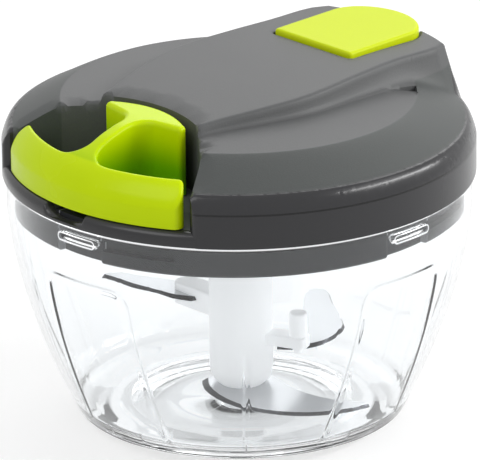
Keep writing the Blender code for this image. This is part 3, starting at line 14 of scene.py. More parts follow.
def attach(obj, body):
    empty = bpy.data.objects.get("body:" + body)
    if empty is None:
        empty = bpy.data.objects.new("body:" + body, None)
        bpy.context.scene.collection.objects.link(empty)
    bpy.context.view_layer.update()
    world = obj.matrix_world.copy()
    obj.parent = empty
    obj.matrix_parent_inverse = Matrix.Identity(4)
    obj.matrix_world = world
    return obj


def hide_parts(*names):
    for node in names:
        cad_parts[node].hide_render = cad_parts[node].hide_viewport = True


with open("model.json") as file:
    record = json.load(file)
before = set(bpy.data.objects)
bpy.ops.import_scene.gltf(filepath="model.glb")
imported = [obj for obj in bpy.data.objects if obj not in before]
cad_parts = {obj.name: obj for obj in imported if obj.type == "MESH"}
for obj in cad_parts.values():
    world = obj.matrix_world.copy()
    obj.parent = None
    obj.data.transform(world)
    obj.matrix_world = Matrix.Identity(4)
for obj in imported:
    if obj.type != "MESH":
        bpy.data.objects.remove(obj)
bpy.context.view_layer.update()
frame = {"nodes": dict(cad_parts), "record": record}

# Sizes have the names that they have in the part's source. The foot, the beads, the lid's creases, the end of
# the ridge, the button and the handle have here the finer form that the photograph shows.

# Bowl
RIM_RADIUS = 65.0
RIM_Z = 72.0
BAND_Z = 65.0               # lower end of the rim's straight band
BOWL_WALL = 2.0
CORNER_RADIUS = 46.3
CORNER_Z = 3.4
FLARE = 1.65
FLOOR_TOP = 4.4
FLOOR_UNDER = 1.7
FOOT_RADIUS = 37.2
FOOT_INNER = 34.0
PATTERN_TURN = 3.5          # degrees from the x axis to the first lug
LUG_Z = 68.3
LUG_WIDTH = 13.6
LUG_HEIGHT = 2.2
LUG_CORNER = 1.0
LUG_BORDER = 0.5            # width of the slope round a lug
LUG_REACH = 1.9
LUG_TURNS = np.radians(PATTERN_TURN + 90.0 * np.arange(4))
DENT_DEPTH = 0.2            # of the hollow outside each lug
PANEL_HALF = 15.6
PANEL_TOP = 56.5
PANEL_CORNER = 6.0
BEAD_WIDTH = 2.6
BEAD_HEIGHT = 0.22
RIB_TOP = 39.5

# Lid
COVER_FOOT_Z = 72.3
SIDE_RADIUS = 66.0
DISH_RADIUS = 49.5          # where the dish ends and the ring starts
DISH_TOP = 96.2
DISH_DROP = 2.3
RING_RADIUS = 63.0          # where the ring ends and the shoulder starts
RING_LOW = 87.0
CREASE_Z = 81.9
RIDGE_TOP = 101.2
RIDGE_HIGH_Y = 35.0
RIDGE_CROWN = 600.0
RIDGE_SIDE = [(19.4, -34.5), (22.0, -25.5), (25.4, -14.5), (28.0, -3.0), (28.3, 7.0), (26.9, 22.0),
              (25.7, 36.0), (25.9, 47.0), (25.6, 52.0)]
RIDGE_END_RADIUS = 61.8
RIDGE_END_HALF = 23.6
NOTCH_START = 29.5
NOTCH_DEPTH = 1.5
POCKET_FLOOR = 76.4
POCKET_APEX_Y = -28.2
POCKET_CHORD = 19.4         # half the chord of its back wall, whose arc rises by the sag
POCKET_SAG = 4.4
POCKET_BACK_HALF = 17.0
POCKET_SIDE = [(20.4, -34.0, 2.4), (29.9, -41.7, 24.0), (36.6, -52.0, 5.0)]     # x, y and corner radius
POCKET_MOUTH = (37.69, -54.18, 2.4)
MOUTH_TURN = -52.6          # degrees at which the side wall starts beside the mouth
SKIRT_RADIUS = 62.6
SKIRT_INNER = 59.4
SKIRT_LOW = 63.0
PLATE_LOW = 72.6
PLATE_TOP = 74.6
CHANNEL_DEPTH = 2.0
CHANNEL_LOW = 66.9
CHANNEL_HIGH = 69.7
CHANNEL_HALF = LUG_WIDTH / 2 + 1.2
LOCK_TURN = 20.0

# Button
BUTTON_HALF_WIDTH = 15.4
BUTTON_FRONT_Y = 28.2
BUTTON_END_Y = 51.0         # where its straight sides meet the round end
BUTTON_END_RADIUS = 62.6
BUTTON_UNDER_Z = 94.0
BUTTON_FRONT_Z = 102.5
BUTTON_RISE = 0.6
BUTTON_GAP = 0.6

# Handle
HANDLE_OUTER_RADIUS = 64.4
HANDLE_INNER_RADIUS = 58.5
HANDLE_HALF_WIDTH = 35.4
HANDLE_STEM = 2.3
HANDLE_BAR_X = 15.3
HANDLE_BAR_FRONT = -38.2
HANDLE_BAR_BACK = -34.0
HANDLE_APEX_Y = -29.9
HANDLE_BASE = 76.7
HANDLE_FALL_RADII = (28.0, 38.0, 44.0, 50.0, 58.5, 62.0, 64.4, 66.8)
HANDLE_FALL_LEVELS = (97.0, 96.5, 95.7, 93.9, 89.9, 87.3, 83.3, 79.8)

# Blade column
COLUMN_RADIUS = 8.95
COLUMN_TOP = 65.8
SOCKET_RADIUS = 5.6
SOCKET_DEPTH = 12.6
PIN_BORE_RADIUS = 2.5
PIN_BORE_TOP = 24.1
MIDDLE_ARM = (24.0, 20.2, 5.6, 21.6, 24.8)      # turn, reach, width, underside and top
UPPER_ARM = (181.5, 24.5, 7.0, 26.6, 32.8)
PEG_RADIUS = 2.6
PEG_TOP = 31.6
BLADE_LEVELS = (7.6, 20.3, 29.7)                # the undersides
BLADE_THICKNESS = 1.0


# Shader arithmetic

class Wire:
    """A shader socket in arithmetic. Each operation on it adds a Math node and gives that node's output."""

    def __init__(self, nodes, socket):
        self.nodes = nodes
        self.socket = socket

    def math(self, operation, *others):
        return self.nodes.node("ShaderNodeMath", {"operation": operation}, [self, *others])

    def __add__(self, other):
        return self.math("ADD", other)

    def __sub__(self, other):
        return self.math("SUBTRACT", other)

    def __rsub__(self, other):
        return self.nodes.node("ShaderNodeMath", {"operation": "SUBTRACT"}, [other, self])

    def __mul__(self, other):
        return self.math("MULTIPLY", other)

    def __pow__(self, other):
        return self.math("POWER", other)

    def __abs__(self):
        return self.math("ABSOLUTE")

    __radd__ = __add__
    __rmul__ = __mul__


class Nodes:
    """A node tree, to which nodes are added by type, settings and inputs."""

    def __init__(self, tree):
        self.tree = tree

    def plug(self, socket, value):
        """Link a wire to a socket, or set the socket's own value."""
        if isinstance(value, Wire):
            self.tree.links.new(value.socket, socket)
        else:
            socket.default_value = value

    def node(self, kind, settings=None, inputs=(), output=0):
        """Add a node and give the output asked for, or all of them in a list if it is None."""
        made = self.tree.nodes.new(kind)
        for key, value in (settings or {}).items():
            setattr(made, key, value)
        for key, value in inputs.items() if isinstance(inputs, dict) else enumerate(inputs):
            self.plug(made.inputs[key], value)
        if output is None:
            return [Wire(self, socket) for socket in made.outputs]
        return Wire(self, made.outputs[output])


class Look(Nodes):
    """One material. What is the same all over it sits on the Principled shader's own sockets."""

    def __init__(self, name, fixed=None):
        self.material = bpy.data.materials.new(name)
        self.material.use_nodes = True
        super().__init__(self.material.node_tree)
        self.shader = self.tree.nodes["Principled BSDF"]
        for socket, value in (fixed or {}).items():
            self.feed(socket, value)

    def feed(self, socket, value):
        """Plug a wire, a number or a colour into the Principled shader."""
        if isinstance(value, tuple):
            value = (*value, 1.0)
        self.plug(self.shader.inputs[socket], value)

    def place(self):
        """Place on the object, in metres."""
        return self.node("ShaderNodeTexCoord", output="Object")

    def axes(self):
        """x, y and z of the place on the object, in millimetres."""
        return [axis * 1000.0 for axis in self.node("ShaderNodeSeparateXYZ", None, [self.place()], None)]

    def beside_lug(self):
        """Distance across and up from the middle of the nearest lug, along the wall, and the radius."""
        x, y, z = self.axes()
        turn = y.math("ARCTAN2", x) - math.radians(PATTERN_TURN)
        away = turn.math("WRAP", math.pi / 4, -math.pi / 4)
        return abs(away * RIM_RADIUS), abs(z - LUG_Z), span(x, y)

    def noise(self, scale, detail=2.0, stretch=None):
        place = self.place()
        if stretch:
            place = self.node("ShaderNodeMapping", None, {"Vector": place, "Scale": stretch})
        return self.node("ShaderNodeTexNoise", None, {"Vector": place, "Scale": scale, "Detail": detail})

    def ease(self, value, start, end):
        """0 before start, 1 after end, smooth between them."""
        return self.node("ShaderNodeMapRange", {"interpolation_type": "SMOOTHSTEP"},
                         {"Value": value, "From Min": start, "From Max": end})

    def blend(self, factor, first, second):
        """Colour that goes from first to second with factor."""
        first, second = (colour if isinstance(colour, Wire) else (*colour, 1.0) for colour in (first, second))
        return self.node("ShaderNodeMix", {"data_type": "RGBA"}, {0: factor, 6: first, 7: second}, 2)

    def bump(self, height, distance, strength):
        """Normal of a surface raised by height times distance in metres."""
        return self.node("ShaderNodeBump", None,
                         {"Height": height, "Distance": distance, "Strength": strength})


def span(a, b):
    """Length of the diagonal of two wires."""
    return (a * a + b * b) ** 0.5


def shade(red, green, blue):
    """A colour given as it looks, from 0 to 255, as the linear numbers that a shader takes."""
    return tuple(((c / 255 + 0.055) / 1.055) ** 2.4 if c > 10 else c / 3295 for c in (red, green, blue))


# Outlines in plan

def arc(centre, radius, start, end, count):
    """Points centre + radius (cos, sin) from start to end degrees, both included."""
    turns = np.radians(np.linspace(start, end, count))
    return [(centre[0] + radius * math.cos(t), centre[1] + radius * math.sin(t)) for t in turns]


def rounded(corners, count=12):
    """Outline from (x, y, radius) corners. Each corner is an arc that meets both its sides."""
    outline = []
    for index, (x, y, radius) in enumerate(corners):
        here = np.array((x, y))
        if radius == 0.0:
            outline.append((x, y))
            continue
        before = np.array(corners[index - 1][:2]) - here
        after = np.array(corners[(index + 1) % len(corners)][:2]) - here
        before /= np.linalg.norm(before)
        after /= np.linalg.norm(after)
        half = math.acos(float(np.clip(before @ after, -1.0, 1.0))) / 2
        middle = before + after
        centre = here + middle / np.linalg.norm(middle) * radius / math.sin(half)
        first = here + before * radius / math.tan(half) - centre
        last = here + after * radius / math.tan(half) - centre
        start = math.atan2(first[1], first[0])
        sweep = (math.atan2(last[1], last[0]) - start + math.pi) % math.tau - math.pi
        turns = start + sweep * np.linspace(0, 1, count)
        outline += [(centre[0] + radius * math.cos(t), centre[1] + radius * math.sin(t)) for t in turns]
    return outline


def mirrored(half):
    """Half an outline followed by its mirror image. A point on x = 0 is used once."""
    return half + [(-point[0], *point[1:]) for point in reversed(half) if point[0] > 0.001]


def spaced(outline, gap):
    """Each side of a closed outline divided evenly into stretches no longer than gap."""
    starts = np.asarray(outline, float)
    ends = np.roll(starts, -1, axis=0)
    counts = np.maximum(1, np.ceil(np.linalg.norm(ends - starts, axis=1) / gap)).astype(int)
    return np.concatenate([a + (b - a) * (np.arange(n) / n)[:, None]
                           for a, b, n in zip(starts, ends, counts)])


def smooth(points, spans=12):
    """Catmull-Rom line: on each span the cubic through its ends with slopes from its neighbours."""
    knots = np.array(points, dtype=float)
    knots = np.vstack((2 * knots[0] - knots[1], knots, 2 * knots[-1] - knots[-2]))
    a, b, c, d = (knots[i:len(knots) - 3 + i, None] for i in range(4))
    t = (np.arange(spans) / spans)[None, :, None]
    line = 0.5 * (2 * b + (c - a) * t + (2 * a - 5 * b + 4 * c - d) * t ** 2
                  + (3 * b - a - 3 * c + d) * t ** 3)
    return np.vstack((line.reshape(-1, 2), knots[-2]))


def clearance(points, outline):
    """Distance in plan from each point to the nearest side of a closed outline, negative inside it."""
    start = np.asarray(outline, float)
    side = np.roll(start, -1, axis=0) - start
    rise = np.where(side[:, 1] == 0.0, 1e-9, side[:, 1])
    result = np.empty(len(points))
    for low in range(0, len(points), 3000):
        p = points[low:low + 3000, None]
        away = p - start
        share = np.clip((away * side).sum(-1) / (side ** 2).sum(-1), 0.0, 1.0)
        gap = np.linalg.norm(away - share[..., None] * side, axis=-1).min(1)
        spans = (away[..., 1] < 0.0) != (away[..., 1] < side[:, 1])
        crossed = spans & (away[..., 0] < away[..., 1] * side[:, 0] / rise)
        result[low:low + 3000] = np.where(crossed.sum(1) % 2 == 1, -gap, gap)
    return result


def offset_rows(outline, offsets, gap):
    """Rows of points beside an outline, each moved along the outline's outward normal."""
    line = spaced(outline, gap)
    along = np.roll(line, -1, axis=0) - np.roll(line, 1, axis=0)
    normal = np.stack((along[:, 1], -along[:, 0]), axis=1) / np.linalg.norm(along, axis=1)[:, None]
    return np.concatenate([line + normal * offset for offset in offsets])


# Meshes

def add_object(name, data):
    made = bpy.data.objects.new(name, data)
    bpy.context.scene.collection.objects.link(made)
    return made


def make(name, surface, look, body, replaced=(), sharp=50.0):
    """Object at the origin from points in millimetres and faces, riding on a body and standing for CAD nodes.
    Edges that turn by more than sharp degrees stay sharp."""
    verts, faces = surface
    mesh = bpy.data.meshes.new(name)
    mesh.from_pydata((np.asarray(verts) / 1000).tolist(), [], faces)
    mesh.validate()
    mesh.shade_smooth()
    mesh.set_sharp_from_angle(angle=math.radians(sharp))
    mesh.materials.append(look.material)
    made = add_object(name, mesh)
    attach(made, body)
    if replaced:
        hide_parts(*replaced)


def grid_faces(rows, columns, closed=True, start=0):
    """Quads between neighbours of a grid of rows x columns points. Columns run on round when closed."""
    across = columns if closed else columns - 1
    row, column = np.meshgrid(np.arange(rows - 1), np.arange(across), indexing="ij")
    after = (column + 1) % columns
    here = row * columns
    quads = np.stack((here + column, here + columns + column, here + columns + after, here + after), axis=-1)
    return (quads.reshape(-1, 4) + start).tolist()


def revolved(radius, z, turn, closed=True):
    """Surface (r cos t, r sin t, z) from grids of r and z over the turns t. Rows run down the outside. A row
    on the axis is one point, joined to the next row by a fan, and closed joins the last row to the first."""
    points = np.stack((radius * np.cos(turn), radius * np.sin(turn), z), axis=-1).reshape(-1, 3)
    on_axis = (radius < 1e-6).all(1)
    index = np.arange(radius.size).reshape(radius.shape)
    index[on_axis] = index[on_axis, :1]
    used, index = np.unique(index, return_inverse=True)
    index = index.reshape(radius.shape)
    if closed:
        index = np.vstack((index, index[:1]))
        on_axis = np.append(on_axis, on_axis[0])
    after = np.roll(index, -1, axis=1)
    quads = np.stack((index[:-1], index[1:], after[1:], after[:-1]), axis=-1)
    from_axis, to_axis = on_axis[:-1], on_axis[1:]
    faces = quads[~from_axis & ~to_axis].reshape(-1, 4).tolist()
    faces += quads[from_axis & ~to_axis][..., [0, 1, 2]].reshape(-1, 3).tolist()
    faces += quads[~from_axis & to_axis][..., [0, 1, 3]].reshape(-1, 3).tolist()
    return points[used], faces


def relief(outline, holes, rows, gap, height, floor, bands, wall_rows=5):
    """Moulding seen from above: z = height(x, y) inside outline and outside holes, walls down to the level
    floor and a flat underside. The top joins the outline, the given rows and an even grid of points gap apart
    by a Delaunay triangulation, and the underside repeats it. The grid stays out of the bands, each a closed
    line with the least and the greatest distance from it, because the rows lie there."""
    loops = [np.asarray(outline)] + [np.asarray(hole)[::-1] for hole in holes]
    border = np.concatenate(loops)
    low, high = border.min(0), border.max(0)
    across = np.arange(low[0], high[0], gap)
    up = np.arange(low[1], high[1], gap * 0.866)
    x, y = np.meshgrid(across, up)
    x = x + (np.arange(len(up)) % 2 * gap / 2)[:, None]
    inner = np.stack((x.ravel(), y.ravel()), axis=1)
    for line, least, greatest in bands:
        distance = clearance(inner, line)
        inner = inner[(distance < least) | (distance > greatest)]
    points = np.concatenate([rows, inner])
    points = points[clearance(points, outline) < -0.02]
    for hole in holes:
        points = points[clearance(points, hole) > 0.02]
    edges = []
    start = 0
    for loop in loops:
        edges += [(start + i, start + (i + 1) % len(loop)) for i in range(len(loop))]
        start += len(loop)
    source = [Vector(point) for point in np.concatenate([border, points])]
    flat, _, triangles, origins, _, _ = geometry.delaunay_2d_cdt(source, edges, [], 1, 1e-4)
    flat = np.array([tuple(point) for point in flat])
    triangles = np.array([triangle[:3] for triangle in triangles])
    middles = flat[triangles].mean(1)
    inside = clearance(middles, outline) < 0
    for hole in holes:
        inside &= clearance(middles, hole) > 0
    triangles = triangles[inside]
    corners = flat[triangles]
    area = np.cross(corners[:, 1] - corners[:, 0], corners[:, 2] - corners[:, 0])
    triangles[area < 0] = triangles[area < 0][:, ::-1]
    verts = np.concatenate([np.column_stack((flat, height(flat))),
                            np.column_stack((flat, np.full(len(flat), floor)))])
    faces = triangles.tolist() + (triangles[:, ::-1] + len(flat)).tolist()
    found = {source_id: index for index, ids in enumerate(origins) for source_id in ids}
    start = 0
    for loop in loops:
        count = len(loop)
        top = np.array([found[start + i] for i in range(count)])
        start += count
        plan = verts[top]
        first = len(verts)
        share = np.linspace(0.0, 1.0, wall_rows + 1)[1:-1, None]
        levels = plan[:, 2] + (floor - plan[:, 2]) * share
        sides = np.stack([np.column_stack((plan[:, :2], level)) for level in levels])
        verts = np.concatenate([verts, sides.reshape(-1, 3)])
        here = np.arange(count)
        after = (here + 1) % count
        faces += np.stack((top, first + here, first + after, top[after]), axis=1).tolist()
        faces += grid_faces(wall_rows - 1, count, True, first)
        last = first + (wall_rows - 2) * count
        under = top + len(flat)
        faces += np.stack((last + here, under, under[after], last + after), axis=1).tolist()
    return verts, faces


def eased(x, xs, ys, width):
    """Straight-line interpolation with its bends rounded: its mean over a window of a given half width."""
    return np.mean([np.interp(x + shift, xs, ys) for shift in np.linspace(-width, width, 11)], axis=0)


def softer_of(a, b, reach):
    """The larger of two heights, with a fillet of a given reach where they meet."""
    near = np.clip(reach - np.abs(a - b), 0.0, None)
    return np.maximum(a, b) + near ** 2 / (4 * reach)


def edge_round(distance, radius):
    """How far a rounded edge has dropped at a distance in from the side wall: r - sqrt(r^2 - (r - d)^2)."""
    return radius - np.sqrt(np.clip(radius ** 2 - np.clip(radius - distance, 0.0, radius) ** 2, 0.0, None))


# Materials

def lid_grey():
    """Dark grey plastic: a matte top with painted shade on the ring, polished beyond the ring, with a painted
    shade line in the crease.
    """
    look = Look("lid dark grey", {"IOR": 1.5, "Specular IOR Level": 0.36})
    x, y, z = look.axes()
    radius = span(x, y)
    # painted shade: the ring, below the ridge's level, is drawn darker than the dish, as its slope takes less
    # light
    ring_shade = look.ease(radius, DISH_RADIUS - 0.3, DISH_RADIUS + 0.3) * (1.0 - look.ease(z, 94.1, 94.9))
    polished = look.ease(radius, RING_RADIUS - 0.3, RING_RADIUS + 0.1)
    # painted shade: a near-black line round the side wall where the shoulder meets it
    crease_shade = look.ease(radius, 65.4, 65.6) * (1.0 - look.ease(abs(z - CREASE_Z), 0.1, 0.4))
    grain = look.noise(2600.0)
    speckle = look.noise(40.0) * 0.35 + grain * 0.65
    dish = look.blend(speckle, shade(74, 75, 76), shade(93, 94, 94))
    ring = look.blend(speckle, shade(62, 65, 64), shade(78, 81, 80))
    side = look.blend(polished, look.blend(ring_shade, dish, ring), shade(46, 46, 48))
    look.feed("Base Color", look.blend(crease_shade, side, shade(12, 12, 13)))
    look.feed("Roughness", 0.46 + grain * 0.06 - polished * 0.26)
    look.feed("Normal", look.bump(grain * (1.0 - polished), 0.00006, 0.6))
    return look


def skirt_grey():
    """Dark grey plastic, seen through the bowl's rim, with painted highlights as pale lines beside the
    channels' ways in.
    """
    look = Look("skirt dark grey", {"IOR": 1.5, "Specular IOR Level": 0.14})
    cloud = look.noise(60.0)
    grey = look.blend(cloud, shade(36, 38, 41), shade(44, 46, 49))
    across, _, radius = look.beside_lug()
    # painted highlight: a pale line where each channel's side wall catches the light
    edge = (1.0 - look.ease(abs(across - (CHANNEL_HALF + 0.2)), 0.1, 0.3)) * look.ease(radius, 60.0, 60.2)
    look.feed("Base Color", look.blend(edge, grey, shade(150, 152, 156)))
    look.feed("Roughness", 0.28 + cloud * 0.08)
    return look


def lime_gloss():
    """Glossy lime plastic with a faint flow pattern, and painted shade, a deeper green, in the hollows behind
    the outer bar.
    """
    look = Look("lime gloss", {"IOR": 1.42, "Specular IOR Level": 0.17})
    flow = look.noise(55.0)
    x, y, z = look.axes()
    # painted shade: deeper green low down and inside the outer bar, where the hollows lie in shade
    hollow_shade = (1.0 - look.ease(z, 82.0, 94.5)) * (1.0 - look.ease(span(x, y), 58.0, 59.0))
    lit = look.blend(flow, shade(200, 228, 0), shade(210, 236, 0))
    look.feed("Base Color", look.blend(hollow_shade, lit, shade(110, 180, 0)))
    look.feed("Roughness", 0.24 + flow * 0.06)
    return look


def lime_satin():
    """Paler satin lime plastic with a fine eroded texture."""
    look = Look("lime satin", {"IOR": 1.44, "Specular IOR Level": 0.2})
    grain = look.noise(2400.0)
    look.feed("Base Color", look.blend(grain, shade(203, 221, 8), shade(211, 227, 16)))
    look.feed("Roughness", 0.42 + grain * 0.06)
    look.feed("Normal", look.bump(grain, 0.00004, 0.4))
    return look


def column_white():
    """White satin plastic. Its faint glow stands for light that a real bowl gathers."""
    look = Look("column white", {"IOR": 1.46, "Emission Color": (0.96, 0.98, 1.0), "Emission Strength": 0.26})
    cloud = look.noise(70.0)
    look.feed("Base Color", look.blend(cloud, shade(247, 248, 249), shade(253, 253, 253)))
    look.feed("Roughness", 0.34 + cloud * 0.08)
    return look


def blade_steel():
    """Stainless sheet with fine grinding lines and a painted dark reflection on the bevel, which lies between
    its flat faces.
    """
    look = Look("blade steel", {"Metallic": 1.0})
    z = look.axes()[2]
    # painted reflection: each blade's bevel, between its flat faces, is drawn dark
    bevel_reflection = 0.0
    for low in BLADE_LEVELS:
        high = low + BLADE_THICKNESS
        bevel_reflection += look.ease(z, low + 0.03, low + 0.06) * (1.0 - look.ease(z, high - 0.06, high - 0.03))
    lines = look.noise(900.0, stretch=(1.0, 0.06, 1.0))
    sheet = look.blend(look.noise(60.0), shade(196, 198, 200), shade(212, 213, 215))
    look.feed("Base Color", look.blend(bevel_reflection, sheet, shade(52, 53, 56)))
    look.feed("Roughness", 0.26 + lines * 0.06)
    look.feed("Normal", look.bump(lines, 0.000004, 0.3))
    return look


def spring_wire():
    """Bright drawn spring steel."""
    look = Look("spring wire", {"Metallic": 1.0})
    cloud = look.noise(300.0)
    look.feed("Base Color", look.blend(cloud, shade(150, 152, 155), shade(178, 180, 184)))
    look.feed("Roughness", 0.24 + cloud * 0.1)
    return look


def seal_black():
    """Black silicone."""
    look = Look("seal black", {"IOR": 1.42})
    cloud = look.noise(500.0)
    look.feed("Base Color", look.blend(cloud, shade(30, 30, 31), shade(40, 40, 41)))
    look.feed("Roughness", 0.55 + cloud * 0.1)
    return look


def cord_white():
    """White cord with a fine uneven weave."""
    look = Look("cord white", {"IOR": 1.4, "Roughness": 0.8})
    weave = look.noise(1800.0, 1.0)
    look.feed("Base Color", look.blend(weave, shade(206, 206, 202), shade(236, 236, 232)))
    look.feed("Normal", look.bump(weave, 0.0001, 0.8))
    return look


def bowl_clear():
    """Clear polished plastic with a very faint cool tint. A glow on the rim and round the lugs stands for the
    light that their edges catch."""
    look = Look("bowl clear", {"Base Color": (0.965, 0.98, 0.99), "Transmission Weight": 1.0, "IOR": 1.49,
                               "Emission Strength": 1.0})
    look.feed("Roughness", 0.012 + look.noise(26.0, 1.0) * 0.01)
    rim = look.ease(look.axes()[2], RIM_Z - 0.7, RIM_Z - 0.4)
    across, up, radius = look.beside_lug()
    past = (across - (LUG_WIDTH / 2 - LUG_CORNER)).math("MAXIMUM", 0.0)
    over = (up - (LUG_HEIGHT / 2 - LUG_CORNER)).math("MAXIMUM", 0.0)
    line = 1.0 - look.ease(abs(span(past, over) - LUG_CORNER), 0.12, 0.3)
    outline = line * look.ease(radius, RIM_RADIUS - 1.3, RIM_RADIUS - 1.0)
    look.feed("Emission Color", look.blend(rim.math("MAXIMUM", outline), (0.0, 0.0, 0.0), (0.80, 0.81, 0.82)))
    return look


LID = lid_grey()
SKIRT = skirt_grey()
LIME = lime_gloss()
PALE = lime_satin()
WHITE = column_white()
STEEL = blade_steel()
SPRING = spring_wire()
SEAL = seal_black()
CORD = cord_white()
CLEAR = bowl_clear()


# Bowl

def bowl_outside(z):
    """Outside radius: a straight band at the rim, then a power curve down to the foot's corner."""
    fall = np.clip((BAND_Z - z) / (BAND_Z - CORNER_Z), 0.0, None)
    return RIM_RADIUS - (RIM_RADIUS - CORNER_RADIUS) * fall ** FLARE


def turn_from(centre, turn):
    """Signed turn from a centre, between -pi and pi."""
    return (turn - centre + math.pi) % math.tau - math.pi


def bead_height(turn, radius, z):
    """Rise of the moulded beads on the inside: h (1 - d^2)^2 across the line at a constant distance inside
    each panel's outline, an upside-down U, and across a short straight line midway between two panels. Here d
    is the distance from the line over half the bead's width."""
    half = BEAD_WIDTH / 2
    corner = PANEL_CORNER - half
    rise = np.zeros_like(turn * radius)
    for centre in LUG_TURNS:
        away = turn_from(centre, turn)
        past_side = np.abs(radius * np.sin(away)) - (PANEL_HALF - PANEL_CORNER)
        past_top = z - (PANEL_TOP - PANEL_CORNER)
        distance = (np.hypot(np.clip(past_side, 0, None), np.clip(past_top, 0, None))
                    + np.minimum(np.maximum(past_side, past_top), 0.0) - corner)
        rise = np.maximum(rise, np.where(np.cos(away) > 0.5, 1.0 - (distance / half) ** 2, 0.0))
        away = turn_from(centre + math.pi / 4, turn)
        distance = np.hypot(radius * np.sin(away), np.clip(z - (RIB_TOP - half), 0, None))
        rise = np.maximum(rise, np.where(np.cos(away) > 0.5, 1.0 - (distance / half) ** 2, 0.0))
    fade = np.clip((z - 5.0) / 2.0, 0.0, 1.0)
    return BEAD_HEIGHT * np.clip(rise, 0.0, None) ** 2 * fade


def lug_depth(turn, radius, z, width):
    """1 on a lug and 0 away from it, for a rounded rectangle whose border is a straight slope."""
    result = np.zeros_like(turn * radius)
    for centre in LUG_TURNS:
        away = turn_from(centre, turn)
        across = np.abs(radius * np.sin(away)) - (width / 2 - LUG_CORNER)
        up = np.abs(z - LUG_Z) - (LUG_HEIGHT / 2 - LUG_CORNER)
        distance = np.hypot(np.clip(across, 0, None), np.clip(up, 0, None)) - LUG_CORNER
        share = np.clip(0.5 - distance / LUG_BORDER, 0.0, 1.0)
        result = np.maximum(result, np.where(np.cos(away) > 0.5, share, 0.0))
    return result


def stepped(*stretches):
    """Numbers of several stretches, each given by its start, its end and its step."""
    return np.concatenate([np.arange(*stretch) for stretch in stretches])


def bowl_turns():
    """Turns of the bowl's columns, closer together across the beads, ribs and lugs."""
    eighth = stepped((0.0, 5.6, 1.4), (5.6, 7.0, 0.2), (7.0, 13.0, 1.2), (13.0, 21.0, 0.4), (21.0, 43.4, 2.0),
                     (43.4, 45.0, 0.32))
    quarter = np.concatenate([eighth, 90.0 - eighth[::-1][:-1]])
    return np.radians(np.concatenate([quarter + PATTERN_TURN + 90.0 * k for k in range(4)]))


def make_bowl():
    """Closed clear bowl: its section carried round, with the lugs and beads raised inside and the dents sunk
    outside. The section runs from the rim down the outside, under the foot, and up the inside."""
    turn = bowl_turns()
    wall = stepped((71.2, 70.0, -0.6), (70.0, 66.6, -0.2), (66.6, 6.0, -1.5))
    outside = [(63.05, 71.6), (63.25, 71.9), (63.6, RIM_Z), (64.4, RIM_Z), (64.75, 71.9), (64.95, 71.6)]
    outside += [(bowl_outside(z), z) for z in wall]
    outside += [(bowl_outside(4.6), 4.6), (bowl_outside(3.8), 3.8), (46.1, CORNER_Z), (45.4, 3.05),
                (43.0, 2.15), (40.0, 1.05), (38.0, 0.3), (FOOT_RADIUS, 0.0), (FOOT_INNER, 0.0), (32.4, 0.3),
                (29.4, 1.0), (25.4, 1.55), (20.0, FLOOR_UNDER), (5.0, FLOOR_UNDER), (0.0, FLOOR_UNDER)]
    low = bowl_outside(FLOOR_TOP + 6.0) - BOWL_WALL
    bumps = FLOOR_TOP + 0.3, FLOOR_TOP + 0.25       # of the ring round the pin and the ring on the floor
    inside = [(0.0, FLOOR_TOP), (4.0, FLOOR_TOP), (4.6, bumps[0]), (6.4, bumps[0]), (7.0, FLOOR_TOP),
              (20.0, FLOOR_TOP), (30.6, FLOOR_TOP), (31.0, bumps[1]), (31.6, bumps[1]), (32.0, FLOOR_TOP)]
    inside += smooth([(low - 12.0, FLOOR_TOP), (low - 8.0, FLOOR_TOP + 0.3), (low - 4.2, FLOOR_TOP + 0.8),
                      (low - 1.4, FLOOR_TOP + 2.6), (low, FLOOR_TOP + 6.0)], 4).tolist()
    rise = stepped((12.0, 52.0, 1.5), (52.0, 58.0, 0.4), (58.0, 66.6, 1.5), (66.6, 70.0, 0.2),
                   (70.2, 71.4, 0.5))
    inside += [(bowl_outside(z) - BOWL_WALL, z) for z in rise]
    section = np.array(outside + inside)
    radius = section[:, :1] * np.ones_like(turn)
    z = section[:, 1:] * np.ones_like(turn)
    is_outside = (np.arange(len(section)) < len(outside))[:, None]
    dent = DENT_DEPTH * lug_depth(turn, radius, z, LUG_WIDTH - 1.2)
    raised = LUG_REACH * lug_depth(turn, radius, z, LUG_WIDTH) + bead_height(turn, radius, z)
    radius = radius - np.where(is_outside, dent, np.where(z > 5.0, raised, 0.0))
    make("bowl_shell", revolved(radius, z, turn), CLEAR, "bowl_body", ("bowl",), 60.0)


# Lid

def dish_height(radius):
    """Turned top of the lid: a shallow dish, a ring that falls by a power curve, then a rolled shoulder
    87 - 5.1 t^2.2 down to the crease above the side wall."""
    ring_top = DISH_TOP - DISH_DROP
    dish = DISH_TOP - DISH_DROP * (radius / DISH_RADIUS) ** 1.9
    share = np.clip(radius - DISH_RADIUS, 0, None) / (RING_RADIUS - DISH_RADIUS)
    ring = ring_top - (ring_top - RING_LOW) * share ** 1.12
    share = np.clip((radius - RING_RADIUS) / (SIDE_RADIUS - RING_RADIUS), 0.0, 1.0)
    shoulder = RING_LOW - (RING_LOW - CREASE_Z) * share ** 2.2
    return np.where(radius < DISH_RADIUS, dish, np.where(radius < RING_RADIUS, ring, shoulder))


def ridge_height(y):
    """Crowned top of the ridge: a circle of RIDGE_CROWN in side view."""
    return RIDGE_TOP - (RIDGE_HIGH_Y - y) ** 2 / (2 * RIDGE_CROWN)


def ridge_outline():
    """The ridge in plan, from in front of the pocket to an arc at its far end."""
    side = [tuple(point) for point in smooth(RIDGE_SIDE, 8)]
    turn = math.degrees(math.acos(RIDGE_END_HALF / RIDGE_END_RADIUS))
    return mirrored([(POCKET_BACK_HALF, -60.0)] + side + arc((0, 0), RIDGE_END_RADIUS, turn, 90, 16))


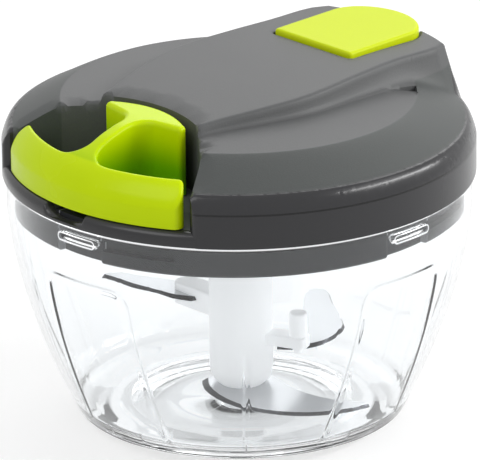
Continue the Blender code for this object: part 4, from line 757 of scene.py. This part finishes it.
def pocket_half():
    """Right half of the pocket's back wall from its apex, an arc, and the corners of its side."""
    radius = (POCKET_CHORD ** 2 + POCKET_SAG ** 2) / (2 * POCKET_SAG)
    reach = math.degrees(math.asin(POCKET_BACK_HALF / radius))
    back = arc((0, POCKET_APEX_Y - radius), radius, 90, 90 - reach, 14)
    return [(x, y, 0.0) for x, y in back] + POCKET_SIDE


def lid_outline():
    """The lid in plan: the side wall's circle with the pocket taken out of it."""
    side = [(x, y, 0.0) for x, y in arc((0, 0), SIDE_RADIUS, MOUTH_TURN, 90, 170)]
    return rounded(mirrored(pocket_half() + [POCKET_MOUTH] + side))


def pocket_outline():
    """The pocket in plan, run on past the side wall."""
    return rounded(mirrored(pocket_half() + [(40.6, -60.0, 0.0), (40.6, -80.0, 0.0)]))


def button_outline(grow):
    """The button in plan: straight sides and half an ellipse for its end."""
    half = BUTTON_HALF_WIDTH + grow
    depth = BUTTON_END_RADIUS + grow - BUTTON_END_Y
    turns = np.linspace(0.0, math.pi / 2, 30)
    end = [(half * math.cos(t), BUTTON_END_Y + depth * math.sin(t), 0.0) for t in turns]
    return rounded(mirrored([(half, BUTTON_FRONT_Y - grow, 0.9 + grow)] + end))


RIDGE = ridge_outline()
POCKET = pocket_outline()
BUTTON_WELL = button_outline(BUTTON_GAP)


def foot_line(y):
    """Half width at which the ridge's fillet ends above the sunk corner of the dish."""
    return 28.2 + 0.19 * (y - NOTCH_START)


def lid_height(plan):
    """Height of the lid's top: the larger of the dish and the ridge, joined by a fillet, with rolled edges at
    the ridge, the pocket and the button's well."""
    x, y = plan.T
    radius = np.hypot(x, y)
    beyond = clearance(plan, RIDGE)
    rounding, slope = 1.5, 3.5
    cap = ridge_height(y) - edge_round(-beyond, rounding)
    flank = ridge_height(y) - rounding - slope * np.clip(beyond, 0.0, None)
    fillet = 1.6 + 5.0 * np.clip((y - 5.0) / 30.0, 0.0, 1.0) ** 1.5
    height = softer_of(np.where(beyond < 0.0, cap, flank), dish_height(radius), fillet)
    past = np.abs(x) - foot_line(y)
    sink = NOTCH_DEPTH * np.clip((y - NOTCH_START) / 9.0, 0.0, 1.0) * np.clip(1.0 - past / 7.0, 0.0, 1.0)
    height = height - np.where((past > 0.0) & (radius < DISH_RADIUS), sink, 0.0)
    height = height - edge_round(np.abs(clearance(plan, POCKET)), 1.0)
    return height - edge_round(np.abs(clearance(plan, BUTTON_WELL)), 0.5)


def make_cover():
    """Lid housing: the moulded top with its pocket and well, and the side wall. Rows of points follow each
    crease and each rolled edge."""
    radii = (49.0, 49.42, 49.56, 50.0, 62.4, 63.0, 63.3, 63.7, 64.2, 64.7, 65.1, 65.5, 65.75)
    circles = [arc((0, 0), radius, 0, 360 - 360 / 340, 340) for radius in radii]
    along = np.linspace(NOTCH_START - 0.5, NOTCH_START + 11.0, 24)
    notch = [np.column_stack((side * (foot_line(along) + step), along))
             for side in (-1, 1) for step in (-0.05, 0.06)]
    ridge_steps = (-1.5, -1.2, -0.8, -0.4, -0.1, 0.15, 0.5, 1.0, 1.6, 2.3, 3.1, 4.0)
    rows = np.concatenate([np.array(circles).reshape(-1, 2), *notch, offset_rows(RIDGE, ridge_steps, 1.1),
                           offset_rows(POCKET, (0.04, 0.18, 0.4, 0.7, 1.0, 1.4, 2.0, 2.8), 0.7),
                           offset_rows(BUTTON_WELL, (0.08, 0.25, 0.5), 0.9)])
    bands = [(RIDGE, -1.9, 4.4), (POCKET, -1.0, 3.4), (BUTTON_WELL, -1.0, 1.2)]
    outline = spaced(lid_outline(), 1.1)
    surface = relief(outline, [spaced(BUTTON_WELL, 0.9)], rows, 1.9, lid_height, COVER_FOOT_Z, bands, 10)
    make("lid_housing", surface, LID, "lid", ("lid_cover",))


def make_tray():
    """Floor of the pocket with its rolled lip on the rim. Rows of radius and height are carried over turns,
    and the ends are closed. The scoop under the grip's bar sinks the floor by 3 sqrt(1 - (x / 7.8)^2)."""
    lip = 2.1
    inner = 22.0
    turn = np.radians(np.linspace(-127.0, -53.0, 181))
    quarter = np.linspace(0.0, math.pi / 2, 8)
    flat = np.concatenate([np.arange(inner, 56.0, 3.0), np.arange(56.0, 64.0, 0.6)])
    radius = np.concatenate([flat, SIDE_RADIUS - lip + lip * np.sin(quarter), [66.0, 65.8, 63.0, inner]])
    level = np.concatenate([np.full(len(flat), POCKET_FLOOR), POCKET_FLOOR - lip + lip * np.cos(quarter),
                            [PLATE_LOW, COVER_FOOT_Z, COVER_FOOT_Z, PLATE_TOP]])
    x = radius[:, None] * np.cos(turn)
    y = radius[:, None] * np.sin(turn)
    outward = np.clip((-y - 57.5) / 3.0, 0.0, 1.0)
    scoop = 3.0 * np.sqrt(np.clip(1.0 - (x / 7.8) ** 2, 0.0, None)) * outward ** 0.5
    on_top = (np.arange(len(radius)) < len(radius) - 4)[:, None]
    z = np.where(on_top, np.maximum(level[:, None] - scoop, 73.2), level[:, None])
    rows, columns = z.shape
    first = np.arange(rows) * columns
    last = (rows - 1) * columns
    faces = grid_faces(rows, columns, False)
    faces += [[last + i, i, i + 1, last + i + 1] for i in range(columns - 1)]
    faces += [first[::-1].tolist(), (first + columns - 1).tolist()]
    make("pocket_tray", (np.stack((x, y, z), axis=-1).reshape(-1, 3), faces), LID, "lid", sharp=45.0)


def make_button():
    """Rocker button: nearly flat, rising evenly from its front to its end, with a rolled edge."""
    outline = spaced(button_outline(0.0), 0.8)

    def top(plan):
        along = np.clip((plan[:, 1] - BUTTON_FRONT_Y) / (BUTTON_END_RADIUS - BUTTON_FRONT_Y), 0.0, 1.0)
        return BUTTON_FRONT_Z + BUTTON_RISE * along - edge_round(-clearance(plan, outline), 0.9)

    rows = offset_rows(outline, (-0.05, -0.2, -0.45, -0.75, -1.1), 0.8)
    surface = relief(outline, [], rows, 2.0, top, BUTTON_UNDER_Z, [(outline, -1.6, 1.0)])
    make("rocker_button", surface, PALE, "button", ("release_button",))


def in_channel(turn, z):
    """Whether a point of the skirt is in a lug's channel: the way in from below, or the groove beside it."""
    side = CHANNEL_HALF / SKIRT_RADIUS
    result = np.zeros((turn * z).shape, bool)
    for centre in LUG_TURNS:
        away = turn_from(centre, turn)
        entry = np.abs(away) < side
        groove = (away > 0.0) & (away < side + math.radians(LOCK_TURN)) & (z > CHANNEL_LOW)
        result |= (entry | groove) & (z < CHANNEL_HIGH)
    return result


def make_skirt():
    """Skirt plate: its section carried round, with the lugs' channels sunk into the outside."""
    side = math.degrees(CHANNEL_HALF / SKIRT_RADIUS)
    edges = [PATTERN_TURN + 90.0 * k + edge for k in range(4) for edge in (-side, side, side + LOCK_TURN)]
    degrees = np.concatenate([np.arange(0.0, 360.0, 1.0), np.array(edges) - 0.03, np.array(edges) + 0.03])
    turn = np.radians(np.unique(np.round(degrees % 360.0, 3)))
    wall = [70.3, CHANNEL_HIGH + 0.02, CHANNEL_HIGH - 0.02, 68.3, CHANNEL_LOW + 0.02, CHANNEL_LOW - 0.02,
            65.2, 63.6]
    section = [(63.3, PLATE_TOP), (63.3, PLATE_LOW), (62.6, PLATE_LOW), (62.6, COVER_FOOT_Z),
               (61.1, COVER_FOOT_Z), (61.1, 70.3)]
    groove_rows = len(section), len(section) + len(wall) + 1
    section += [(SKIRT_RADIUS, z) for z in wall] + [(62.0, SKIRT_LOW)]
    section += [(SKIRT_INNER, SKIRT_LOW), (SKIRT_INNER, PLATE_LOW), (10.3, PLATE_LOW), (10.3, 68.6),
                (7.9, 68.6), (7.9, PLATE_TOP)]
    section = np.array(section)
    radius = section[:, :1] * np.ones_like(turn)
    z = section[:, 1:] * np.ones_like(turn)
    grooved = slice(*groove_rows)
    radius[grooved] = np.where(in_channel(turn, z[grooved]), SKIRT_RADIUS - CHANNEL_DEPTH, radius[grooved])
    make("skirt_plate", revolved(radius, z, turn), SKIRT, "lid", ("lid_base",), 30.0)


# Blade column

def joined(*surfaces):
    """Several closed surfaces as one array of points and one list of faces."""
    starts = np.cumsum([0] + [len(verts) for verts, _ in surfaces]).tolist()
    faces = [[i + start for i in face] for (_, own), start in zip(surfaces, starts) for face in own]
    return np.vstack([verts for verts, _ in surfaces]), faces


def slab(outline, low, high, rounding, gap=0.8):
    """Closed plate between two levels, its upper edge rolled to a given radius."""
    line = spaced(outline, gap)

    def top(plan):
        return high - edge_round(-clearance(plan, line), rounding)

    rows = offset_rows(line, [-rounding * share for share in (0.05, 0.25, 0.6, 1.0)], gap)
    return relief(line, [], rows, 2.0, top, low, [(line, -rounding * 1.4, 1.0)])


def about_axis(outline, turn):
    """An outline turned about the column's axis by a number of degrees."""
    cos, sin = math.cos(math.radians(turn)), math.sin(math.radians(turn))
    return [(x * cos - y * sin, x * sin + y * cos) for x, y in outline]


def arm(turn, reach, width, low, high):
    """Straight arm with a rounded end, from inside the column outwards."""
    half, corner, start = width / 2, width * 0.3, 5.0
    corners = [(start, -half, 0.0), (reach, -half, corner), (reach, half, corner), (start, half, 0.0)]
    return slab(about_axis(rounded(corners), turn), low, high, 0.6)


def make_column():
    """White column turned from its section, with the drive socket, the pin's bore, two arms and the peg."""
    floor = COLUMN_TOP - SOCKET_DEPTH
    edge = COLUMN_RADIUS - 0.6, COLUMN_TOP - 0.6
    section = [(0.0, floor), (SOCKET_RADIUS, floor), (SOCKET_RADIUS, COLUMN_TOP), (edge[0], COLUMN_TOP)]
    section += arc(edge, 0.6, 75, 0, 6)
    section += [(COLUMN_RADIUS, z) for z in (60.0, 50.0, 40.0, 30.0, 20.0, 14.0, 12.9)]
    section += [(7.95, 10.3), (6.3, 8.75), (4.4, 8.75), (4.4, 5.9), (PIN_BORE_RADIUS, 5.9),
                (PIN_BORE_RADIUS, PIN_BORE_TOP), (0.0, PIN_BORE_TOP)]
    section = np.array(section)
    turn = np.arange(128) * math.tau / 128
    barrel = revolved(section[:, :1] * np.ones_like(turn), section[:, 1:] * np.ones_like(turn), turn, False)
    rib = [(3.6, -1.2), (6.6, -1.2), (6.6, 1.2), (3.6, 1.2)]
    ribs = [slab(about_axis(rib, side), floor - 0.5, COLUMN_TOP - 1.0, 0.2) for side in (0.0, 180.0)]
    arm_turn, arm_reach, _, arm_low, _ = MIDDLE_ARM
    peg_at = about_axis([(arm_reach - 2.8, 0.0)], arm_turn)[0]
    peg = slab(arc(peg_at, PEG_RADIUS, 0, 352.5, 48), arm_low + 1.0, PEG_TOP, 0.6, 0.4)
    rivet = slab(arc(peg_at, PEG_RADIUS / 2, 0, 345, 24), arm_low - 1.8, arm_low + 1.0, 0.1, 0.4)
    surface = joined(barrel, arm(*MIDDLE_ARM), arm(*UPPER_ARM), peg, rivet, *ribs)
    make("blade_column", surface, WHITE, "blade_unit", ("blade_spindle",), 40.0)


# Handle

def polar(radius, degrees):
    return radius * math.cos(math.radians(degrees)), radius * math.sin(math.radians(degrees))


def handle_outline():
    """The grip in plan: an outer bar on the rim's curve, a stem with wide fillets and an inner bar."""
    end = math.degrees(math.asin(HANDLE_HALF_WIDTH / HANDLE_OUTER_RADIUS)) - 90
    stem = math.degrees(math.asin(10.4 / HANDLE_INNER_RADIUS)) - 90
    sag = HANDLE_APEX_Y - HANDLE_BAR_BACK
    radius = (HANDLE_BAR_X ** 2 + sag ** 2) / (2 * sag)
    reach = math.degrees(math.asin((HANDLE_BAR_X - 2.2) / radius))
    corners = [(x, y, 0.0) for x, y in arc((0, 0), HANDLE_OUTER_RADIUS, -90, end - 3.0, 24)]
    corners += [(*polar(HANDLE_OUTER_RADIUS, end), 2.4), (*polar(HANDLE_INNER_RADIUS, end - 1.0), 1.6)]
    corners += [(x, y, 0.0) for x, y in arc((0, 0), HANDLE_INNER_RADIUS, end - 4.5, stem, 14)]
    corners += [(HANDLE_STEM, -HANDLE_INNER_RADIUS + 0.1, 5.6), (HANDLE_STEM, HANDLE_BAR_FRONT, 5.5),
                (HANDLE_BAR_X, HANDLE_BAR_FRONT + 2.2, 1.1), (HANDLE_BAR_X, HANDLE_BAR_BACK + 0.2, 1.0)]
    corners += [(x, y, 0.0) for x, y in arc((0, HANDLE_APEX_Y - radius), radius, 90 - reach, 90, 14)]
    return rounded(mirrored(corners))


def make_handle():
    """Pull grip: its top follows the lid's fall from the inner bar to the rim, and its edges are rolled."""
    outline = spaced(handle_outline(), 0.6)

    def top(plan):
        fall = eased(np.hypot(plan[:, 0], plan[:, 1]), HANDLE_FALL_RADII, HANDLE_FALL_LEVELS, 1.6)
        return fall - edge_round(-clearance(plan, outline), 1.25)

    rows = offset_rows(outline, (-0.04, -0.16, -0.38, -0.68, -1.0, -1.3), 0.6)
    surface = relief(outline, [], rows, 1.0, top, HANDLE_BASE, [(outline, -1.7, 1.0)], 14)
    make("pull_grip", surface, LIME, "handle", ("pull_handle",))


# Camera, light and floor

def place_object(name, data, place, rotation):
    made = add_object(name, data)
    made.location = place
    made.rotation_mode = "QUATERNION"
    made.rotation_quaternion = rotation
    return made


def add_light(name, width, height, power, place, rotation):
    light = bpy.data.lights.new(name, "AREA")
    light.shape = "RECTANGLE"
    light.size = width
    light.size_y = height
    light.energy = power
    place_object(name, light, place, rotation)


def seen(nodes, hidden, shown):
    """Strength of a surround: shown to camera, glass and mirror rays, hidden from lighting rays."""
    camera, glass, mirror = (nodes.node("ShaderNodeLightPath", output=kind)
                             for kind in ("Is Camera Ray", "Is Transmission Ray", "Is Glossy Ray"))
    return hidden + (shown - hidden) * camera.math("MAXIMUM", glass).math("MAXIMUM", mirror)


def make_camera():
    """Long lens at the photograph's angle, aimed at a point on the chopper's axis and rolled slightly."""
    data = bpy.data.cameras.new("camera")
    data.lens = 496.7
    data.sensor_width = 36.0
    data.clip_start = 0.05
    turn, lift, roll = math.radians(47.2), math.radians(20.47), math.radians(-0.63)
    distance = 1.85
    towards = Vector((math.sin(turn) * math.cos(lift), -math.cos(turn) * math.cos(lift), math.sin(lift)))
    rotation = (-towards).to_track_quat("-Z", "Y") @ Quaternion((0.0, 0.0, 1.0), roll)
    place = Vector((0.0, 0.0, 0.0534)) + towards * distance
    bpy.context.scene.camera = place_object("camera", data, place, rotation)
    return turn


def make_lights(turn):
    """Three square soft boxes, placed from the camera's side, and a strip for the streak on the shoulder."""
    right = Vector((math.cos(turn), math.sin(turn), 0.0))
    front = Vector((math.sin(turn), -math.cos(turn), 0.0))
    up = Vector((0.0, 0.0, 1.0))
    target = Vector((0.0, 0.0, 0.06))
    boxes = (("key", right * -0.9 + front * 0.7 + up * 1.3, 0.9, 6.5),
             ("side", right * 1.1 + front * 0.1 + up * 0.9, 0.8, 2.5),
             ("back", right * 0.2 + front * -1.2 + up * 1.1, 1.1, 6.5))
    for name, place, size, power in boxes:
        add_light(name, size, size, power, place, (target - place).to_track_quat("-Z", "Y"))
    first, last = Vector((0.975, 0.214, 0.667)), Vector((0.453, 1.059, 0.337))
    along = (last - first).normalized()
    away = (first + last).normalized()
    rotation = Matrix((along, away.cross(along), away)).transposed().to_quaternion()
    add_light("strip", 1.0, 0.14, 7.0, target + (first + last) / 2, rotation)


def make_surround():
    """White world and a pale floor that keeps the shadow."""
    world = bpy.data.worlds.new("surround")
    bpy.context.scene.world = world
    world.use_nodes = True
    nodes = Nodes(world.node_tree)
    background = nodes.tree.nodes["Background"]
    nodes.plug(background.inputs["Color"], (1.0, 1.0, 1.0, 1.0))
    nodes.plug(background.inputs["Strength"], seen(nodes, 0.5, 1.0))

    paint = Look("floor white", {"Base Color": (0.42, 0.42, 0.42), "Roughness": 1.0,
                                 "Specular IOR Level": 0.0, "Emission Color": (1.0, 1.0, 1.0)})
    paint.feed("Emission Strength", seen(paint, 0.25, 0.66))
    side = 3.0
    corners = [(-side, -side, 0), (side, -side, 0), (side, side, 0), (-side, side, 0)]
    mesh = bpy.data.meshes.new("floor")
    mesh.from_pydata(corners, [], [(0, 1, 2, 3)])
    mesh.materials.append(paint.material)
    add_object("floor", mesh)


FINISHES = {
    "clear_plastic": CLEAR, "dark_grey_plastic": SKIRT, "black_silicone": SEAL, "lime_plastic": LIME,
    "pale_lime_plastic": PALE, "white_plastic": WHITE, "blade_steel": STEEL, "spring_steel": SPRING,
    "white_cord": CORD}

for entry in frame["record"]["subparts"]:
    for slot in frame["nodes"][entry["node"]].material_slots:
        slot.material = FINISHES[entry["material_slot"]].material

make_bowl()
make_cover()
make_tray()
make_button()
make_skirt()
make_column()
make_handle()
make_lights(make_camera())
make_surround()

bpy.context.scene.view_settings.view_transform = "Standard"
